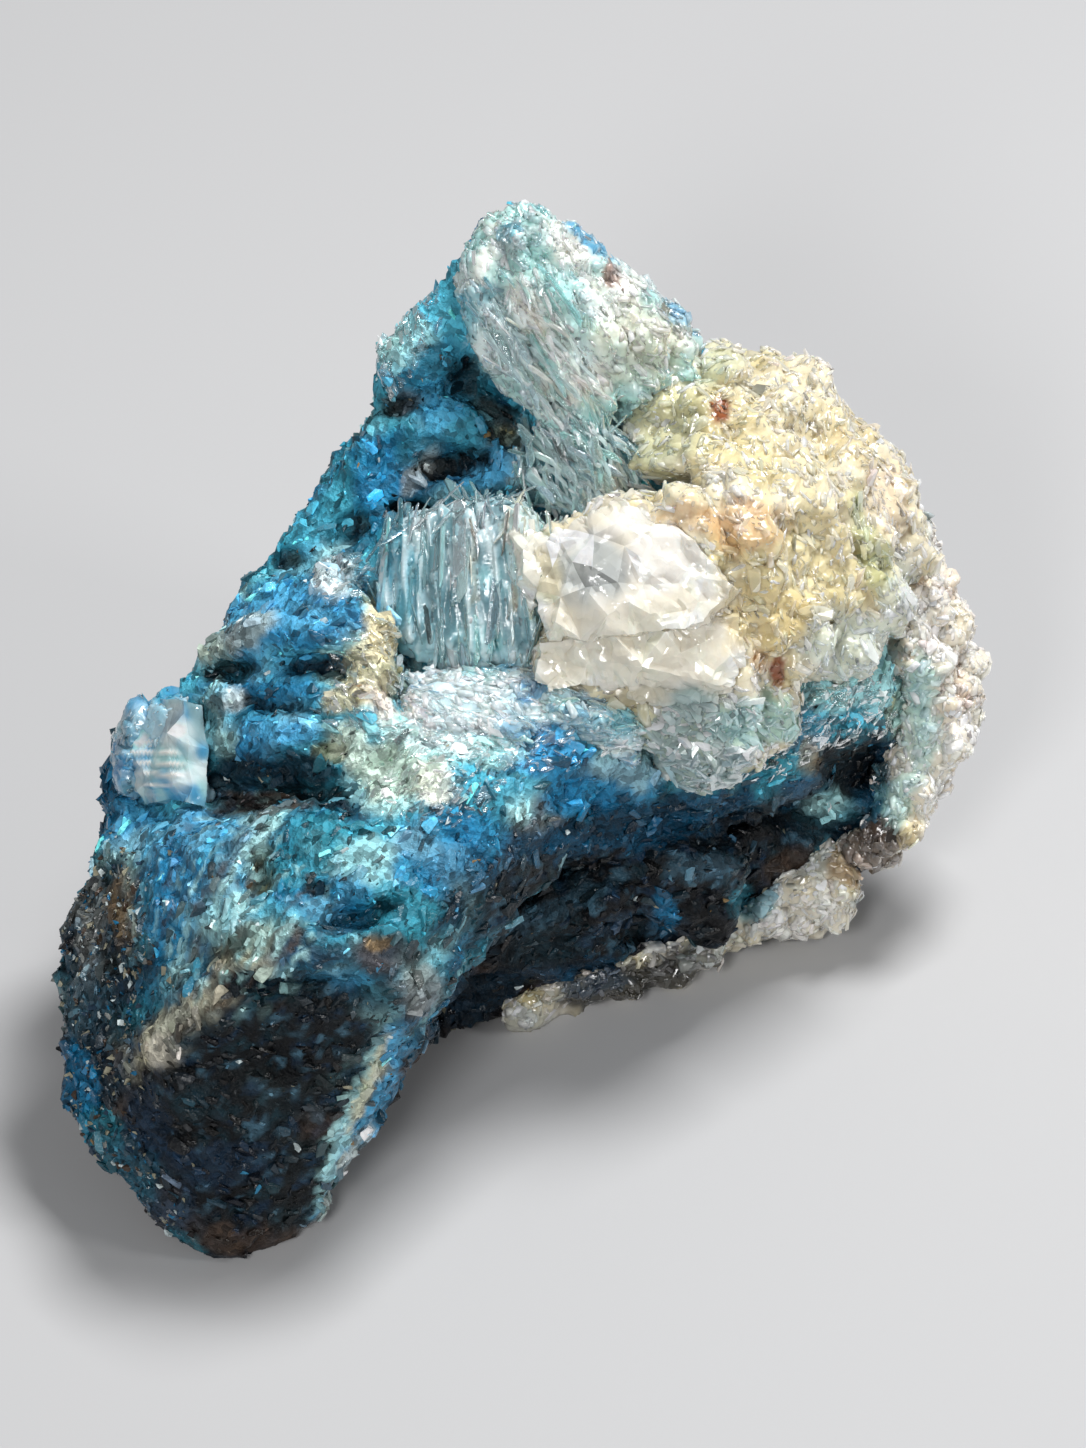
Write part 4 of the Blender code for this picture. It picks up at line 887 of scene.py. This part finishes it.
def main():
    rng = np.random.default_rng(7)
    blades = [blade_template()]
    shards = [shard_template(rng, 11) for _ in range(6)]
    chips = [shard_template(rng, 8) for _ in range(6)]
    gems = [shard_template(rng, 12) for _ in range(6)]
    milky = mineral("milky_selenite", 0.8, 0.12, 0.16, 0.3, transmission=0.1, subsurface=0.4, coat=0.6)
    bright = mineral("bright_selenite", 0.6, 0.08, 0.1, 0.15, transmission=0.3, subsurface=0.5, coat=0.6)
    clear = mineral("clear_selenite", 0.5, 0.1, 0.09, 0.2, transmission=0.7)
    stone = dress_stone(shards, chips, rng)
    even = np.eye(3)
    down_right = in_view((0.55, 0.83))
    upright = in_view((0.08, 1.0))
    level = in_view((1.0, 0.02))
    looks = {
        "selenite_dome": ("cream_selenite", dict(
            skin_material=milky, grains_material=bright, grid=0.37, relief=[(5.0, 0.6), (2.0, 0.3), (1.0, 0.2)],
            stretch=even, ground=[CREAM, WARM_WHITE, YELLOW, CREAM], zones=DOME_ZONES, under=(0.92, 0.88, 0.76),
            flow=[(640, 540, 60, -25), (800, 560, 80, 60), (700, 360, 50, -30), (860, 480, 60, 75),
                  (700, 720, 60, 40), (640, 660, 80, 0)],
            bare=[(615, 570, 74, 52, 15), (634, 664, 92, 26, 0)],
            grains=[(gems, 100, (1.3, 2.5), 0.45, 0.6, (40, 8), -0.15),
                    (gems, 3500, (0.5, 1.6), 0.36, 0.7, (30, 14), 0.0)],
            blades_material=bright,
            blades=[(shards, 900, (0.8, 2.2), 0.4, 0.5, (40, 16), 0.05),
                    (shards, 420, (0.8, 2.6), 0.35, 0.5, (40, 14), 0.0, (705, 742, 70, 48, 0)),
                    (chips, 3600, (0.25, 0.9), 0.55, 0.7, (60, 18), 0.05)])),
        "selenite_peak": ("teal_selenite", dict(
            skin_material=milky, grains_material=bright, grid=0.28, relief=[(4.0, 0.6), (2.0, 0.4), (1.0, 0.25)],
            stretch=stretched(down_right, 2.0), ground=[ICE, PALE_TEAL, WARM_WHITE, ICE], zones=PEAK_ZONES,
            under=(0.93, 0.99, 0.95), ribs=(down_right, (530, 350, 46, 80, -30)),
            flow=[(520, 230, 60, 60), (520, 340, 70, 60), (600, 420, 60, 50), (680, 330, 60, 35)],
            blades_material=clear,
            blades=[(blades, 170, (1.8, 5.5), 0.08, 0.7, (8, 3), 0.0, (535, 345, 44, 70, -30), (590, 420, 40, 36, 0)),
                    (shards, 500, (0.6, 1.8), 0.35, 0.6, (30, 16), 0.1)],
            grains=[(gems, 1500, (0.5, 1.6), 0.42, 0.65, (24, 14), 0.05), (chips, 1600, (0.25, 0.8), 0.6, 0.6, (50, 20), 0.1)])),
        "selenite_blades": ("clear_selenite", dict(
            skin_material=milky, grains_material=bright, blades_material=clear, grid=0.22,
            relief=[(2.4, 0.5), (0.9, 0.2)], ribs=(upright, None), stretch=stretched(upright, 5.0),
            ground=[GLASS_BLUE, CLEAR_GREY, GLASS_BLUE, PALE_TEAL], zones=BLADE_ZONES,
            under=(0.62, 0.8, 0.86), flow=[(460, 590, 200, 88)],
            blades=[(blades, 46, (3.6, 6.4), 0.14, 0.3, (4, 1.5), -0.25),
                    (blades, 300, (1.6, 5.0), 0.06, 0.7, (6, 2), 0.0)],
            grains=[(gems, 260, (0.4, 1.3), 0.4, 0.6, (18, 10), 0.0)])),
        "selenite_ledge_needles": ("pale_selenite", dict(
            skin_material=milky, grains_material=bright, grid=0.3, relief=[(2.6, 0.4), (1.2, 0.25)],
            stretch=stretched(level, 2.0), ground=[ICE, WARM_WHITE, PALE_TEAL, BRIGHT_BLUE], zones=LEDGE_ZONES,
            under=(0.82, 0.93, 0.98), flow=[(440, 690, 60, 4), (520, 730, 60, 30), (600, 710, 60, -8), (400, 700, 30, 60)],
            blades_material=clear, blades=[(blades, 110, (1.6, 3.6), 0.15, 0.5, (12, 4), -0.1), (shards, 500, (0.5, 1.8), 0.3, 0.6, (20, 10), 0.0)],
            grains=[(gems, 700, (0.6, 1.6), 0.42, 0.65, (35, 14), 0.0)])),
        "selenite_left_crystal": ("blue_selenite", dict(
            skin_material=milky, grains_material=bright, grid=0.2, relief=[(3.4, 0.8), (1.5, 0.2)],
            cells=facets, stretch=even, ground=[BRIGHT_BLUE, GLASS_BLUE, ICE, TURQUOISE], zones=LEFT_ZONES,
            under=(0.7, 0.88, 0.98), flow=[(150, 740, 200, 2)],
            ribs=(level, (148, 768, 40, 30, 0)),
            grains=[(chips, 300, (0.3, 0.9), 0.5, 0.6, (30, 12), 0.05)])),
        "selenite_right_rim": ("rim_selenite", dict(
            skin_material=milky, grains_material=milky, grid=0.34, relief=[(4.0, 0.5), (2.0, 0.36), (1.0, 0.18)],
            stretch=even, ground=[CREAM, WARM_WHITE, WARM_WHITE, PINKISH], zones=RIM_ZONES, under=(1.0, 0.96, 0.88),
            flow=[(950, 600, 80, 80), (940, 780, 80, 100)],
            blades_material=milky, blades=[(shards, 900, (0.4, 1.5), 0.5, 0.6, (50, 10), -0.05)],
            grains=[(gems, 60, (1.2, 2.2), 0.6, 0.6, (40, 10), -0.1),
                    (gems, 1800, (0.45, 1.3), 0.5, 0.65, (50, 12), 0.0)])),
        "selenite_lower_crust": ("grey_selenite", dict(
            skin_material=milky, grains_material=milky, grid=0.32, relief=[(2.4, 0.4), (1.1, 0.2)],
            stretch=even, ground=[CREAM, CLEAR_GREY, YELLOW, WARM_WHITE], zones=LOWER_ZONES,
            under=(0.92, 0.88, 0.78), flow=[(820, 900, 80, -30), (600, 990, 80, -20)],
            blades_material=milky, blades=[(shards, 700, (0.4, 1.5), 0.5, 0.6, (50, 12), 0.0)],
            grains=[(gems, 50, (1.2, 2.2), 0.6, 0.6, (40, 12), -0.1),
                    (gems, 800, (0.45, 1.3), 0.5, 0.6, (50, 15), 0.0)])),
    }
    skins = {}
    for node_name, (slot, look) in looks.items():
        skins[node_name] = dress_selenite(node_name, slot, look, rng)

    dome_trees = [skin_tree(skins["selenite_dome"])]
    plates = dict(
        face=1.5, cuts=4, steepness=0.2, rough=0.16, wrinkle=0.22, stretch=stretched(in_view((0.8, 0.5)), 2.5),
        ground=[CREAM, WARM_WHITE, CREAM], zones=DOME_ZONES, clear=[CLEAR_PART], rng=rng,
    )
    shiny = mineral("plate_selenite", 0.9, 0.06, 0.09, 0.2, transmission=0.2, subsurface=0.4, coat=0.5)
    for name, outline, toward, thickness in [
        ("selenite_plate", PLATE, 2.0, 3.0), ("selenite_shelf", SHELF, 1.3, 3.0), ("selenite_lower_plate", LOWER_PLATE, 0.8, 1.8),
    ]:
        pane(name, dome_trees, outline, toward, thickness, plates, shiny, "cream_selenite")
    leaf_trees = [skin_tree(skins["selenite_blades"]), *dome_trees, skin_tree(stone)]
    ice = dict(plates, zones=[], ground=[GLASS_BLUE, PALE_TEAL, TEAL], face=1.6, rough=0.3)
    ribbed = dict(
        plates, zones=LEFT_ZONES, ground=[PALE_TEAL, GLASS_BLUE, ICE, BRIGHT_BLUE], ribs=(0.78, LEFT_RIBS), face=2.2, cuts=11, rough=0.35,
        wrinkle=0.05, clear=[LEFT_CLEAR],
    )
    left_trees = [skin_tree(skins["selenite_left_crystal"]), skin_tree(stone)]
    pane("selenite_left_face", left_trees, LEFT_FACE, 1.0, 2.0, ribbed, shiny, "blue_selenite")
    cleft = pane("selenite_cleft", [skin_tree(stone)], CLEFT, 2.2, 3.0, ice, clear, "clear_selenite")
    pane("selenite_leaf", leaf_trees, LEAF, 1.0, 0.8, dict(plates, zones=BLADE_ZONES), shiny, "clear_selenite")

    def fringe_tint(spots, ups):
        tints = paint(spots, ups, stone_ground(spots), STONE_ZONES) * 0.75 + linear(ICE) * 0.25
        return tone_spread(rng, tints, 0.15, 0.04, 0.04)

    def cleft_tint(spots, ups):
        return tone_spread(rng, mix_palette(spots, [GLASS_BLUE, ICE, PALE_TEAL, ICE], 1.2, 95), 0.2, 0.1, 0.06)

    fringe = [
        growth(stone, (shards, 2200, (0.5, 1.7), 0.42, 0.6, (26, 14), 0.05), STONE_FLOW, within(FRINGE), fringe_tint, rng),
        growth(cleft, (blades, 240, (1.8, 5.0), 0.1, 0.5, (24, 6), 0.05), [(580, 480, 50, 58)], within([(578, 470, 70, 52, 0)]),
               cleft_tint, rng),
    ]
    show(crystal_mesh("fringe", fringe), "selenite_fringe", clear, "teal_selenite")
    studio()


main()
boxes = {"cad": CAD_BOX, "visual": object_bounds()}
{key: [[float(v) for v in corner] for corner in box] for key, box in boxes.items()}
